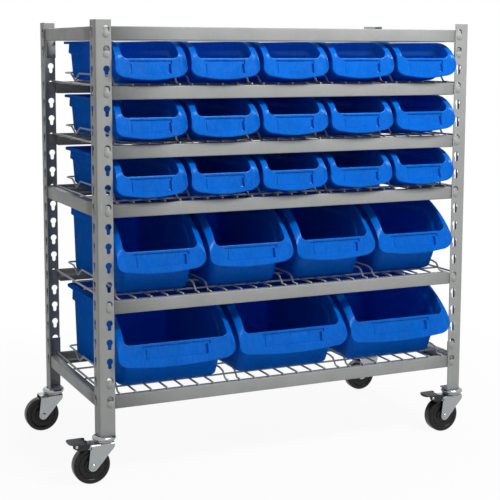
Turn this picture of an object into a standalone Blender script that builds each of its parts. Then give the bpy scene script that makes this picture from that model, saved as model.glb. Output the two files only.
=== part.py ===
"""Mobile bin cart: a boltless keyhole rack on four casters, five wire decks and 22 pull-out hopper bins.

Metres, +Z up. The origin is on the floor under the middle of the frame. The open fronts of the bins
face -Y. Each named mesh object is one physical piece of the real product.
"""
import math

import bmesh
import bpy
from mathutils import Matrix, Vector

# Frame: outer size over the corner posts, and the pitch of the keyholes
FRAME_W = 0.846
FRAME_D = 0.396
POST_H = 0.8154
POST_FLANGE = 0.0325
POST_SHEET = 0.0018
KEY_PITCH = 0.0381
KEY_FIRST_DROP = 0.0177
KEY_LAST_RISE = 0.0738
KEY_COLUMN = 0.0225
KEY_RADIUS = 0.0066
KEY_SLOT_W = 0.008
KEY_TAIL = 0.0152

# Beams: folded channels that hang in the keyholes by their rivets
BEAM_H = 0.026
BEAM_ABOVE_KEY = 0.005
BEAM_SHEET = 0.0015
BEAM_LEDGE = 0.015
BEAM_TAB_REACH = 0.0185
RIVET_SEAT_DROP = 0.010
RIVET_STEM_R = 0.0032
RIVET_HEAD_R = 0.0072
RIVET_HEAD_T = 0.0024
RIVET_EDGE = 0.010
SIDE_BEAM_ROWS = (0, 3, 5)

# Rows, counted in keyholes: the small rows have a fixed height, the two lower rows share what is left
SMALL_ROWS = 3
SMALL_BAY = 3
LOWER_ROWS = 2
LOWER_BAY_DRAWN = 5

# Wire decks
WIRE = 0.004
SIDE_WIRE = 0.0044
WIRE_INSET_Y = 0.0065
SIDE_WIRE_INSET = 0.023
STUB = 0.002
CROSS_WIRE_INSET = 0.048
CROSS_WIRES = 4
RING_CUT_X = 0.010
RING_CUT_Y = 0.012
DIVIDER_RISE = 0.017
DIVIDER_FLAT = 0.0195
DIVIDER_RAMP = 0.020
STOP_INSET = 0.034
DIVIDER_CLEAR = 0.0065

# Bins: a row of bins fills BIN_ROW_W between the posts
BIN_ROW_INSET = 0.032
BIN_GAP = 0.0085
RIM_TUCK = 0.003
RIM_OVERHANG = 0.010
SHOULDER_STEP = 0.0045
BIN_DRAFT = 0.0025
BIN_WALL = 0.0025
RIM_SHEET = 0.003
BIN_HEADROOM = 0.0016
BIN_BOTTOM_R = 0.012
BIN_CORNER_R = 0.024
BIN_NOSE = 0.012
BIN_LIP_BACK = 0.0095
BIN_TAIL_GAP = 0.033
BIN_FRONT_SET = 0.030
SWOOP_START = 0.063
LIP_CORNER = 0.013
TIP_SHARE = 0.43
SHOULDER_UNDER_LIP = 0.020
SHOULDER_BACK = 0.0115

# Casters
CASTER_INSET = 0.0125
CASTER_H = 0.094
WHEEL_CLEAR = 0.0045
WHEEL_W = 0.024
WHEEL_HUB_W = 0.030
WHEEL_BORE_R = 0.0044
TRAIL = 0.028
AXLE_R = 0.004
FORK_SHEET = 0.0025
FORK_HUB_GAP = 0.0005
CROWN_BACK = 0.033
CROWN_FRONT = 0.017
LEG_END_R = 0.0095
RACE_R = 0.024
RACE_T = 0.0066
SWIVEL_RING_R = 0.0215
SWIVEL_RING_H = 0.0051
PEDAL_PIVOT_BACK = 0.062
PEDAL_PIVOT_RISE = 0.0005
PEDAL_SHEET = 0.002
PEDAL_TIP = 0.0135
PEDAL_HEEL = 0.0185
PEDAL_RISE = 0.0055
PEDAL_TIP_W = 0.026
PIN_R = 0.0022
PIN_HEAD_R = 0.0034

GAP = 0.0003
KEEP = 0.0005

# Derived places
POST_TOP = CASTER_H + POST_H
KEY_COUNT = 1 + round((POST_H - KEY_FIRST_DROP - KEY_LAST_RISE) // (KEY_PITCH * (1 - 1e-9)))
LOWER_BAY = (KEY_COUNT - 1 - SMALL_ROWS * SMALL_BAY) // LOWER_ROWS
BAYS = [SMALL_BAY] * SMALL_ROWS + [LOWER_BAY] * LOWER_ROWS
BEAM_KEYS = [1 + sum(BAYS[:level]) for level in range(len(BAYS) + 1)]
BEAM_FACE_IN = POST_SHEET + GAP
DECK_TOP = 2 * GAP + WIRE
BIN_ROW_W = FRAME_W - 2 * BIN_ROW_INSET
FORK_INNER = WHEEL_HUB_W / 2 + FORK_HUB_GAP
FORK_OUTER = FORK_INNER + FORK_SHEET
FORK_TOP = CASTER_H - RACE_T - GAP - SWIVEL_RING_H
FORK_CROWN_Z = FORK_TOP - FORK_SHEET
WHEEL_R = (FORK_CROWN_Z - WHEEL_CLEAR) / 2
PEDAL_PIVOT_Z = FORK_TOP + PEDAL_PIVOT_RISE
PEDAL_W = 2 * (FORK_OUTER + GAP + PEDAL_SHEET)


def key_z(n):
    """Height of the round part of keyhole n, counted from the top."""
    return POST_TOP - KEY_FIRST_DROP - (n - 1) * KEY_PITCH


def beam_top(level):
    """Top face of the beam at a level, level 0 being the uppermost."""
    return key_z(BEAM_KEYS[level]) + BEAM_ABOVE_KEY


def clear_scene():
    """Removes what the start-up file holds."""
    for item in list(bpy.data.objects):
        bpy.data.objects.remove(item, do_unlink=True)


def collection(name):
    """A collection linked to the scene."""
    group = bpy.data.collections.new(name)
    bpy.context.scene.collection.children.link(group)
    return group


def material(name, rgb, roughness, metallic):
    """A plain Principled material."""
    mat = bpy.data.materials.new(name)
    mat.use_nodes = True
    shader = mat.node_tree.nodes["Principled BSDF"]
    shader.inputs["Base Color"].default_value = (*rgb, 1.0)
    shader.inputs["Roughness"].default_value = roughness
    shader.inputs["Metallic"].default_value = metallic
    return mat


def mesh_from(bm, name):
    """Finishes a bmesh as a mesh datablock with outward normals."""
    bmesh.ops.recalc_face_normals(bm, faces=bm.faces)
    mesh = bpy.data.meshes.new(name)
    bm.to_mesh(mesh)
    bm.free()
    return mesh


def place(name, mesh, mat, group, location=(0, 0, 0), parent=None):
    """Adds a mesh as a named part."""
    part = bpy.data.objects.new(name, mesh.copy())
    part.data.name = name
    part.data.materials.clear()
    part.data.materials.append(mat)
    part.location = location
    group.objects.link(part)
    part.parent = parent
    return part


def box(bm, low, high):
    """Adds a box between two corners."""
    low = Vector(low)
    high = Vector(high)
    size = high - low
    matrix = Matrix.Translation((low + high) / 2) @ Matrix.Diagonal((*size, 1.0))
    bmesh.ops.create_cube(bm, size=1.0, matrix=matrix)


def cylinder(bm, radius, low, high, axis, sides, turn=0.0):
    """Adds a closed cylinder along one axis between two heights on it."""
    length = high - low
    spin = Matrix.Rotation(turn, 4, "Z")
    tip = {"Z": Matrix(), "Y": Matrix.Rotation(-math.pi / 2, 4, "X"), "X": Matrix.Rotation(math.pi / 2, 4, "Y")}
    move = {"Z": (0, 0, low + length / 2), "Y": (0, low + length / 2, 0), "X": (low + length / 2, 0, 0)}
    matrix = Matrix.Translation(move[axis]) @ tip[axis] @ spin
    bmesh.ops.create_cone(
        bm, cap_ends=True, segments=sides, radius1=radius, radius2=radius, depth=length, matrix=matrix
    )


def curve_mesh(curve, name):
    """Turns a curve into a welded mesh."""
    holder = bpy.data.objects.new(name, curve)
    bpy.context.scene.collection.objects.link(holder)
    bpy.context.view_layer.update()
    depsgraph = bpy.context.evaluated_depsgraph_get()
    mesh = bpy.data.meshes.new_from_object(holder.evaluated_get(depsgraph))
    bpy.data.objects.remove(holder, do_unlink=True)
    bm = bmesh.new()
    bm.from_mesh(mesh)
    bmesh.ops.remove_doubles(bm, verts=bm.verts, dist=0.00001)
    bmesh.ops.recalc_face_normals(bm, faces=bm.faces)
    bm.to_mesh(mesh)
    bm.free()
    return mesh


def plate(name, outlines, thickness):
    """A flat sheet in the XY plane from z=0 up: the first outline is its edge, the others are holes."""
    curve = bpy.data.curves.new(name, "CURVE")
    curve.dimensions = "2D"
    curve.fill_mode = "BOTH"
    curve.extrude = thickness / 2
    for outline in outlines:
        spline = curve.splines.new("POLY")
        spline.points.add(len(outline) - 1)
        for point, (x, y) in zip(spline.points, outline):
            point.co = (x, y, 0, 1)
        spline.use_cyclic_u = True
    mesh = curve_mesh(curve, name)
    mesh.transform(Matrix.Translation((0, 0, thickness / 2)))
    return mesh


def wire(name, points, side, cyclic=False):
    """A wire of square section along a polyline, two of its faces level."""
    curve = bpy.data.curves.new(name, "CURVE")
    curve.dimensions = "3D"
    curve.bevel_depth = side / math.sqrt(2)
    curve.bevel_resolution = 0
    curve.use_fill_caps = not cyclic
    curve.twist_mode = "Z_UP"
    spline = curve.splines.new("POLY")
    spline.points.add(len(points) - 1)
    for point, place_at in zip(spline.points, points):
        point.co = (*place_at, 1)
        point.tilt = math.pi / 4
    spline.use_cyclic_u = cyclic
    return curve_mesh(curve, name)


def turned(name, profile, sides):
    """A turned body about Z from a profile of (radius, height) pairs that runs down its outer side."""
    bm = bmesh.new()
    verts = [bm.verts.new((r, 0, z)) for r, z in profile]
    for first, second in zip(verts, verts[1:]):
        bm.edges.new((first, second))
    if profile[0][0] > 0:
        bm.edges.new((verts[-1], verts[0]))
    mesh = bpy.data.meshes.new(name)
    bm.to_mesh(mesh)
    bm.free()
    holder = bpy.data.objects.new(name, mesh)
    bpy.context.scene.collection.objects.link(holder)
    screw = holder.modifiers.new("Screw", "SCREW")
    screw.steps = sides
    screw.render_steps = sides
    screw.use_merge_vertices = True
    screw.merge_threshold = 0.00001
    bpy.context.view_layer.update()
    depsgraph = bpy.context.evaluated_depsgraph_get()
    solid = bpy.data.meshes.new_from_object(holder.evaluated_get(depsgraph))
    bpy.data.objects.remove(holder, do_unlink=True)
    bm = bmesh.new()
    bm.from_mesh(solid)
    bmesh.ops.remove_doubles(bm, verts=bm.verts, dist=0.00001)
    bmesh.ops.dissolve_limit(
        bm, angle_limit=math.radians(0.5), verts=bm.verts, edges=bm.edges, use_dissolve_boundaries=False
    )
    bmesh.ops.recalc_face_normals(bm, faces=bm.faces)
    bm.to_mesh(solid)
    bm.free()
    return solid


def combine(name, base, tool, operation="UNION"):
    """Boolean of two meshes, given back as a new mesh."""
    base_object = bpy.data.objects.new(name, base)
    tool_object = bpy.data.objects.new(name + "_tool", tool)
    for item in (base_object, tool_object):
        bpy.context.scene.collection.objects.link(item)
    boolean = base_object.modifiers.new("Boolean", "BOOLEAN")
    boolean.operation = operation
    boolean.solver = "EXACT"
    boolean.object = tool_object
    bpy.context.view_layer.update()
    depsgraph = bpy.context.evaluated_depsgraph_get()
    result = bpy.data.meshes.new_from_object(base_object.evaluated_get(depsgraph))
    for item in (base_object, tool_object):
        bpy.data.objects.remove(item, do_unlink=True)
    return result


def joined(name, meshes):
    """Meshes side by side in one mesh, for use as one Boolean operand."""
    bm = bmesh.new()
    for mesh in meshes:
        bm.from_mesh(mesh)
    result = bpy.data.meshes.new(name)
    bm.to_mesh(result)
    bm.free()
    return result


def flipped(mesh, sx, sy):
    """A copy mirrored in X and Y where the sign is negative."""
    copy = mesh.copy()
    copy.transform(Matrix.Diagonal((sx, sy, 1.0, 1.0)))
    if sx * sy < 0:
        copy.flip_normals()
    return copy


# Posts

def keyhole(u, v):
    """Outline of one keyhole whose round part is centred on (u, v): a round head over a narrow tail."""
    head = [(u + KEY_RADIUS * math.cos(a), v + KEY_RADIUS * math.sin(a)) for a in (0.0, 1.05, 2.09, math.pi)]
    tail = [(u - KEY_SLOT_W / 2, v - KEY_TAIL), (u + KEY_SLOT_W / 2, v - KEY_TAIL)]
    return head + tail


def key_cutters():
    """Prisms through the flange that lies along +X, one for each keyhole."""
    cutters = []
    for n in range(1, KEY_COUNT + 1):
        prism = plate("key", [keyhole(KEY_COLUMN, key_z(n) - CASTER_H)], 3 * POST_SHEET)
        prism.transform(Matrix(((1, 0, 0, 0), (0, 0, 1, -POST_SHEET), (0, 1, 0, 0), (0, 0, 0, 1))))
        prism.flip_normals()
        cutters.append(prism)
    return joined("keys", cutters)


def post_mesh():
    """A corner post with its fold at the origin and its flanges along +X and +Y, standing on z=0."""
    corner_points = [
        (0, 0), (POST_FLANGE, 0), (POST_FLANGE, POST_SHEET), (POST_SHEET, POST_SHEET),
        (POST_SHEET, POST_FLANGE), (0, POST_FLANGE),
    ]
    angle = plate("angle", [corner_points], POST_H)
    bm = bmesh.new()
    box(bm, (POST_SHEET - KEEP, POST_SHEET - KEEP, 0.0002), (POST_FLANGE - KEEP, POST_FLANGE - KEEP, 0.0027))
    foot = mesh_from(bm, "foot")
    race = turned(
        "race", [(0, 0.001), (RACE_R - 0.004, 0.001), (RACE_R, -0.003), (RACE_R, -RACE_T), (0, -RACE_T)], 16
    )
    race.transform(Matrix.Translation((CASTER_INSET, CASTER_INSET, 0)))
    post = combine("post", combine("post", angle, foot), race)
    along_x = key_cutters()
    along_y = along_x.copy()
    along_y.transform(Matrix(((0, 1, 0, 0), (1, 0, 0, 0), (0, 0, 1, 0), (0, 0, 0, 1))))
    along_y.flip_normals()
    return combine("post", combine("post", post, along_x, "DIFFERENCE"), along_y, "DIFFERENCE")


# Beams

def rivet(bm, u, z):
    """A headed rivet at (u, z) through a web whose outer face is y=0: the head stands proud of the post."""
    start = len(bm.verts)
    bm.verts.ensure_lookup_table()
    cylinder(bm, RIVET_STEM_R, -POST_SHEET - GAP - 0.0008, BEAM_SHEET / 2, "Y", 4)
    bm.verts.ensure_lookup_table()
    for vert in bm.verts[start:]:
        vert.co += Vector((u, 0, z))


def rivet_head(bm, u, z):
    """The head of the rivet at (u, z)."""
    bm.verts.ensure_lookup_table()
    start = len(bm.verts)
    outer = -POST_SHEET - 2 * GAP
    cylinder(bm, RIVET_HEAD_R, outer - RIVET_HEAD_T, outer, "Y", 6)
    bm.verts.ensure_lookup_table()
    for vert in bm.verts[start:]:
        vert.co += Vector((u, 0, z))


def beam_mesh(span, level):
    """A beam along X between two posts of outer span, its web's outer face on y=0, its top on z=0."""
    half = span / 2
    clear = half - POST_FLANGE - KEEP
    section = [
        (0, 0), (BEAM_LEDGE, 0), (BEAM_LEDGE, -BEAM_SHEET), (BEAM_SHEET, -BEAM_SHEET),
        (BEAM_SHEET, BEAM_SHEET - BEAM_H), (BEAM_LEDGE, BEAM_SHEET - BEAM_H), (BEAM_LEDGE, -BEAM_H), (0, -BEAM_H),
    ]
    channel = plate("channel", [section], 2 * clear)
    channel.transform(Matrix(((0, 0, 1, -clear), (1, 0, 0, 0), (0, 1, 0, 0), (0, 0, 0, 1))))
    keys = [0]
    if level == 0:
        keys = [0, 1]
    if level == len(BEAM_KEYS) - 1:
        keys = [0, -1]
    drops = [-BEAM_ABOVE_KEY - RIVET_SEAT_DROP - k * KEY_PITCH for k in keys]
    low = min(-BEAM_H, min(drops) - RIVET_EDGE)
    high = max(0.0, max(drops) + RIVET_EDGE)
    tabs = bmesh.new()
    for side in (-1, 1):
        inner = side * (clear - GAP)
        outer = side * (half - POST_FLANGE + BEAM_TAB_REACH)
        box(tabs, (min(inner, outer), 0, low), (max(inner, outer), BEAM_SHEET, high))
    beam = combine("beam", channel, mesh_from(tabs, "tabs"))
    stems = bmesh.new()
    heads = bmesh.new()
    for side in (-1, 1):
        for drop in drops:
            rivet(stems, side * (half - KEY_COLUMN), drop)
            rivet_head(heads, side * (half - KEY_COLUMN), drop)
    studs = combine("studs", mesh_from(heads, "heads"), mesh_from(stems, "stems"))
    return combine("beam", beam, studs)


# Wire decks

def slot_half(count):
    """Half the distance between the two divider wires of one bin in a row of count bins."""
    return bin_low_half(count) + DIVIDER_CLEAR + WIRE / 2


def bin_centres(count):
    """Middle of each bin in a row."""
    pitch = BIN_ROW_W / count
    return [(i - (count - 1) / 2) * pitch for i in range(count)]


def deck_mesh(count, fill):
    """A wire deck for count bins with fill plain wires under each. z=0 is the top of the beams."""
    lift = DECK_TOP - WIRE / 2
    y_end = FRAME_D / 2 - WIRE_INSET_Y
    x_side = FRAME_W / 2 - SIDE_WIRE_INSET
    low = lift - WIRE - GAP
    z_side = (lift + low) / 2
    ring = []
    for sx, sy in ((-1, -1), (1, -1), (1, 1), (-1, 1)):
        edge = (sx * (x_side - RING_CUT_X), sy * y_end, GAP + SIDE_WIRE / 2)
        side = (sx * x_side, sy * (y_end - RING_CUT_Y), z_side)
        ring += [side, edge] if sx * sy > 0 else [edge, side]
    frame = wire("deck_frame", ring, SIDE_WIRE, cyclic=True)
    wires = []
    for centre in bin_centres(count):
        half = slot_half(count)
        for i in range(fill):
            x = centre - half + 2 * half * (i + 1) / (fill + 1)
            wires.append(wire("plain", [(x, -y_end, lift), (x, y_end, lift)], WIRE))
        up = lift + DIVIDER_RISE
        front = [-y_end, -y_end + DIVIDER_FLAT, -y_end + DIVIDER_FLAT + DIVIDER_RAMP]
        side = [(front[0], lift), (front[1], lift), (front[2], up), (FRAME_D / 2 - STOP_INSET, up)]
        path = [(centre - half, y, z) for y, z in side] + [(centre + half, y, z) for y, z in reversed(side)]
        wires.append(wire("divider", path, WIRE))
    cross_pitch = (FRAME_D - 2 * CROSS_WIRE_INSET) / (CROSS_WIRES - 1)
    for i in range(CROSS_WIRES):
        y = (i - (CROSS_WIRES - 1) / 2) * cross_pitch
        reach = x_side + SIDE_WIRE / 2 + STUB
        wires.append(wire("cross", [(-reach, y, low), (reach, y, low)], WIRE))
    return combine("deck", frame, joined("wires", wires))


# Bins

class BinShape:
    """Sizes of one kind of bin. Heights are above the underside of the bin.

    The drops at its front are drawn for a bay of drawn_keys keyholes and follow a bay of bay_keys.
    """

    def __init__(self, count, bay_keys, drawn_keys, lip_drop, apron, shoulder, plain_wires):
        fit = bay_keys / drawn_keys
        self.count = count
        self.height = bay_keys * KEY_PITCH - BEAM_H - DECK_TOP - GAP - BIN_HEADROOM
        self.lip = self.height - fit * lip_drop
        self.bow = self.lip - fit * apron
        self.tip = self.lip - TIP_SHARE * fit * apron
        self.shoulder = fit * shoulder
        self.plain_wires = plain_wires


def bin_low_half(count):
    """Half width of the lower body of a bin in a row of count bins."""
    tip = (BIN_ROW_W / count - BIN_GAP) / 2
    return tip - RIM_TUCK - RIM_OVERHANG - SHOULDER_STEP


def corner(w, yf, yr, radius, at_front, steps):
    """Points round one corner of a half plan, from the side wall to the front, or from the rear to the side."""
    points = []
    for i in range(steps):
        a = math.pi / 2 * i / (steps - 1) if steps > 1 else math.pi / 4
        if at_front:
            points.append((w - radius + radius * math.cos(a), yf + radius - radius * math.sin(a)))
        else:
            points.append((w - radius + radius * math.sin(a), yr - radius + radius * math.cos(a)))
    return points


def bin_mesh(shape, rear_steps, swoop_steps):
    """A hopper bin as a loft of closed rings, from the outside of its floor over the rim to the inside."""
    tip_half = (BIN_ROW_W / shape.count - BIN_GAP) / 2
    rim = tip_half - RIM_TUCK
    wall = rim - RIM_OVERHANG
    low = wall - SHOULDER_STEP
    base = low - BIN_DRAFT
    nose = -FRAME_D / 2 - BIN_NOSE
    lip_y = nose + BIN_LIP_BACK
    front_low = -FRAME_D / 2 + BIN_FRONT_SET
    tail = FRAME_D / 2 - BIN_TAIL_GAP
    swoop_y = -FRAME_D / 2 + SWOOP_START
    front_steps = 3
    phis = [math.pi / 2 * i / swoop_steps for i in range(swoop_steps)]
    lip_phis = [math.radians(a) for a in (66, 82, 90)]
    lip_insets = [0.0, 0.3 * LIP_CORNER, LIP_CORNER]

    def plan(w, yf, yr, inset, z, z_side=None):
        """A level ring: rear corner, side points level with the swoop, front corner, front middle."""
        radius = BIN_CORNER_R - inset
        rear = corner(w, yf, yr, max(radius, 0.004), False, rear_steps) if rear_steps > 1 else [(w, yr)]
        side_from = swoop_y
        side_to = yf + radius
        side = [(w, side_from + (side_to - side_from) * i / swoop_steps) for i in range(swoop_steps)]
        front = corner(w, yf, yr, radius, True, front_steps)
        return [(x, y, z) for x, y in rear + side + front] + [(0, yf, z)]

    def sweep(phi, top_z, low_y, low_z):
        """A point and the outward normal of a swoop from the level rim down to the front."""
        reach = swoop_y - low_y
        rise = top_z - low_z
        point = (swoop_y - reach * math.sin(phi), low_z + rise * math.cos(phi))
        normal = Vector((-rise * math.sin(phi), reach * math.cos(phi))).normalized()
        return point, normal

    def rim_ring(w_level, w_tip, tail_y, sink):
        """The outer edge of the rim flange, sunk along its normal by the sheet's thickness."""
        rear = corner(w_level, 0, tail_y, 0.018, False, rear_steps) if rear_steps > 1 else [(w_level, tail_y)]
        ring = [(x, y, shape.height - sink) for x, y in rear]
        for i, phi in enumerate(phis):
            point, normal = sweep(phi, shape.height, nose, shape.tip)
            w = w_level + (w_tip - w_level) * i / swoop_steps
            ring.append((w, point[0] - sink * normal.x, point[1] - sink * normal.y))
        turn = 0.62 * (shape.tip - shape.bow)
        for x_in, z_in in ((0.0, 0.0), (0.3, 0.7), (1.0, 1.0)):
            ring.append((w_tip - x_in * turn, nose + sink, shape.tip - z_in * 0.8 * (shape.tip - shape.bow)))
        return ring + [(0, nose + sink, shape.bow)]

    def edge_ring(w, tail_y, sink, lip_sink):
        """The ring where the wall meets the rim flange, sunk below the rim's top face."""
        rear = corner(w, 0, tail_y, 0.014, False, rear_steps) if rear_steps > 1 else [(w, tail_y)]
        ring = [(x, y, shape.height - sink) for x, y in rear]
        for phi in phis:
            point, normal = sweep(phi, shape.height, lip_y, shape.lip)
            ring.append((w, point[0] - sink * normal.x, point[1] - sink * normal.y))
        for phi, inset in zip(lip_phis, lip_insets):
            point, normal = sweep(phi, shape.height, lip_y, shape.lip)
            ring.append((w - inset, point[0] + lip_sink[0], point[1] - lip_sink[1]))
        return ring + [(0, lip_y + lip_sink[0], shape.lip - lip_sink[1])]

    def shoulder_ring(w, tail_y, inset):
        """The lower edge of the shoulder: a level line that dips under the lip at the front."""
        front_z = shape.lip - SHOULDER_UNDER_LIP
        front_y = lip_y + SHOULDER_BACK + inset
        radius = BIN_CORNER_R - 0.004 - inset
        rear = corner(w, 0, tail_y, 0.014, False, rear_steps) if rear_steps > 1 else [(w, tail_y)]
        ring = [(x, y, shape.height - shape.shoulder) for x, y in rear]
        fall = shape.height - shape.shoulder - front_z
        for i in range(swoop_steps):
            share = i / swoop_steps
            y = swoop_y + (front_y + radius - swoop_y) * share
            ring.append((w, y, front_z + fall * math.cos(math.pi / 2 * share)))
        for x, y in corner(w, front_y, 0, radius, True, front_steps):
            ring.append((x, y, front_z))
        return ring + [(0, front_y, front_z)]

    floor = BIN_WALL
    low_tail = tail - RIM_OVERHANG - SHOULDER_STEP - BIN_DRAFT
    rings = [
        plan(base - BIN_BOTTOM_R, front_low + BIN_BOTTOM_R, low_tail - BIN_BOTTOM_R, BIN_BOTTOM_R, 0.0),
        plan(base, front_low - 0.005, low_tail, 0.0, BIN_BOTTOM_R),
        shoulder_ring(low, low_tail + BIN_DRAFT, 0.0),
        edge_ring(wall, tail - RIM_OVERHANG, RIM_SHEET, (0.0018, 0.006)),
        rim_ring(rim, tip_half, tail, RIM_SHEET),
        rim_ring(rim, tip_half, tail, 0.0),
        edge_ring(wall - BIN_WALL, tail - RIM_OVERHANG - BIN_WALL, 0.0, (0.0, 0.0)),
        shoulder_ring(low - BIN_WALL, low_tail + BIN_DRAFT - BIN_WALL, BIN_WALL),
        plan(base - BIN_WALL, front_low - 0.005 + BIN_WALL, low_tail - BIN_WALL, BIN_WALL, BIN_BOTTOM_R + 0.001),
        plan(
            base - BIN_BOTTOM_R - 0.001, front_low + BIN_BOTTOM_R + 0.001, low_tail - BIN_BOTTOM_R - 0.001,
            BIN_BOTTOM_R + 0.001, floor,
        ),
    ]
    bm = bmesh.new()
    loops = []
    for ring in rings:
        right = [bm.verts.new(p) for p in ring]
        left = [bm.verts.new((-p[0], p[1], p[2])) for p in reversed(ring[:-1])]
        loops.append(right + left)
    for lower, upper in zip(loops, loops[1:]):
        count = len(lower)
        for i in range(count):
            j = (i + 1) % count
            if i < len(rings[0]) - 1:
                bm.faces.new((lower[i], lower[j], upper[j]))
                bm.faces.new((lower[i], upper[j], upper[i]))
            else:
                bm.faces.new((lower[i], lower[j], upper[i]))
                bm.faces.new((lower[j], upper[j], upper[i]))
    bm.faces.new(loops[0])
    bm.faces.new(loops[-1])
    return mesh_from(bm, "bin")


# Casters

def wheel_mesh():
    """A wheel about its own Y axis, bored for the axle, with a groove round each face."""
    half = WHEEL_W / 2
    hub = WHEEL_HUB_W / 2
    profile = [
        (WHEEL_BORE_R, hub), (0.010, hub), (WHEEL_R - 0.004, half), (WHEEL_R, half - 0.005),
        (WHEEL_R, 0.005 - half), (WHEEL_R - 0.004, -half), (0.010, -hub), (WHEEL_BORE_R, -hub),
    ]
    wheel = turned("wheel", profile, 20)
    wheel.transform(Matrix.Rotation(math.pi / 2, 4, "X"))
    return wheel


def fork_mesh():
    """A swivel fork with its axle and swivel ring, about the swivel axis at x=y=0, z measured from the floor."""
    inner = FORK_INNER
    outer = FORK_OUTER
    top = FORK_TOP
    end = [
        (-TRAIL + LEG_END_R * math.cos(a), WHEEL_R + LEG_END_R * math.sin(a))
        for a in [math.radians(d) for d in (-30, -75, -120, -165)]
    ]
    eye = PIN_R + 0.0008
    outline = [(CROWN_FRONT, top), (CROWN_FRONT, top - 0.009)] + end
    outline += [(-CROWN_BACK - 0.001, PEDAL_PIVOT_Z - eye - 0.004)]
    outline += [
        (-PEDAL_PIVOT_BACK - eye * math.sin(a), PEDAL_PIVOT_Z - eye * math.cos(a))
        for a in [math.radians(d) for d in (0, 60, 120, 180)]
    ]
    outline += [(-CROWN_BACK, top)]
    plain = [(CROWN_FRONT, top), (CROWN_FRONT, top - 0.009)] + end + [(-CROWN_BACK, top)]
    forks = []
    for braked in (True, False):
        leg = plate("leg", [outline if braked else plain], FORK_SHEET)
        near = leg.copy()
        near.transform(Matrix(((1, 0, 0, 0), (0, 0, 1, -outer), (0, 1, 0, 0), (0, 0, 0, 1))))
        far = leg.copy()
        far.transform(Matrix(((1, 0, 0, 0), (0, 0, 1, inner), (0, 1, 0, 0), (0, 0, 0, 1))))
        for mesh in (near, far):
            mesh.flip_normals()
        bm = bmesh.new()
        box(bm, (-CROWN_BACK + 0.002, -outer + KEEP, FORK_CROWN_Z), (CROWN_FRONT - 0.001, outer - KEEP, top - 0.0002))
        crown = mesh_from(bm, "crown")
        ring_top = CASTER_H - RACE_T - GAP
        ring = turned(
            "ring",
            [(0, ring_top), (SWIVEL_RING_R, ring_top), (SWIVEL_RING_R, top - 0.001), (0, top - 0.001)],
            12,
        )
        bm = bmesh.new()
        reach = outer + 0.003
        cylinder(bm, AXLE_R, -reach, reach, "Y", 8)
        axle = mesh_from(bm, "axle")
        axle.transform(Matrix.Translation((-TRAIL, 0, WHEEL_R)))
        heads = bmesh.new()
        for side in (-1, 1):
            low_y = min(side * (outer - KEEP), side * (outer + 0.0035))
            cylinder(heads, 0.006, low_y, low_y + 0.0035 + KEEP, "Y", 8)
        head_mesh = mesh_from(heads, "axle_heads")
        head_mesh.transform(Matrix.Translation((-TRAIL, 0, WHEEL_R)))
        fork = combine("fork", crown, joined("legs", [near, far]))
        fork = combine("fork", fork, ring)
        fork = combine("fork", fork, combine("axle", head_mesh, axle))
        if braked:
            bm = bmesh.new()
            pin_reach = PEDAL_W / 2 + 0.0026
            cylinder(bm, PIN_R, -pin_reach, pin_reach, "Y", 8)
            pin = mesh_from(bm, "pin")
            bm = bmesh.new()
            for side in (-1, 1):
                low_y = min(side * (PEDAL_W / 2 + GAP), side * pin_reach)
                cylinder(bm, PIN_HEAD_R, low_y, low_y + pin_reach - PEDAL_W / 2 - GAP, "Y", 8)
            pin = combine("pin", mesh_from(bm, "pin_heads"), pin)
            pin.transform(Matrix.Translation((-PEDAL_PIVOT_BACK, 0, PEDAL_PIVOT_Z)))
            fork = combine("fork", fork, pin)
        forks.append(fork)
    return forks


def pedal_mesh():
    """A folded brake pedal about its pivot on the Y axis: a tread plate over two pierced ears."""
    top = PEDAL_RISE
    heel = PEDAL_HEEL + 0.002
    ear = [(-0.007, top), (-0.007, -0.002), (-0.002, -0.006), (0.012, -0.009), (heel, -0.006), (heel, top)]
    wide = PEDAL_W / 2 - KEEP
    half_tread = [(-PEDAL_TIP, -PEDAL_TIP_W / 2), (-0.006, -wide), (PEDAL_HEEL, -wide)]
    tread = half_tread + [(x, -y) for x, y in reversed(half_tread)]
    bore = [((PIN_R + GAP) * 1.08 * math.cos(a), (PIN_R + GAP) * 1.08 * math.sin(a)) for a in
            [math.tau * i / 8 for i in range(8)]]
    side = plate("ear", [ear, bore], PEDAL_SHEET)
    near = side.copy()
    near.transform(Matrix(((1, 0, 0, 0), (0, 0, 1, -PEDAL_W / 2), (0, 1, 0, 0), (0, 0, 0, 1))))
    far = side.copy()
    far.transform(Matrix(((1, 0, 0, 0), (0, 0, 1, PEDAL_W / 2 - PEDAL_SHEET), (0, 1, 0, 0), (0, 0, 0, 1))))
    for mesh in (near, far):
        mesh.flip_normals()
    flat = plate("tread", [tread], PEDAL_SHEET)
    flat.transform(Matrix.Translation((0, 0, top - PEDAL_SHEET - 0.0002)))
    return combine("pedal", flat, joined("ears", [near, far]))


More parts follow.
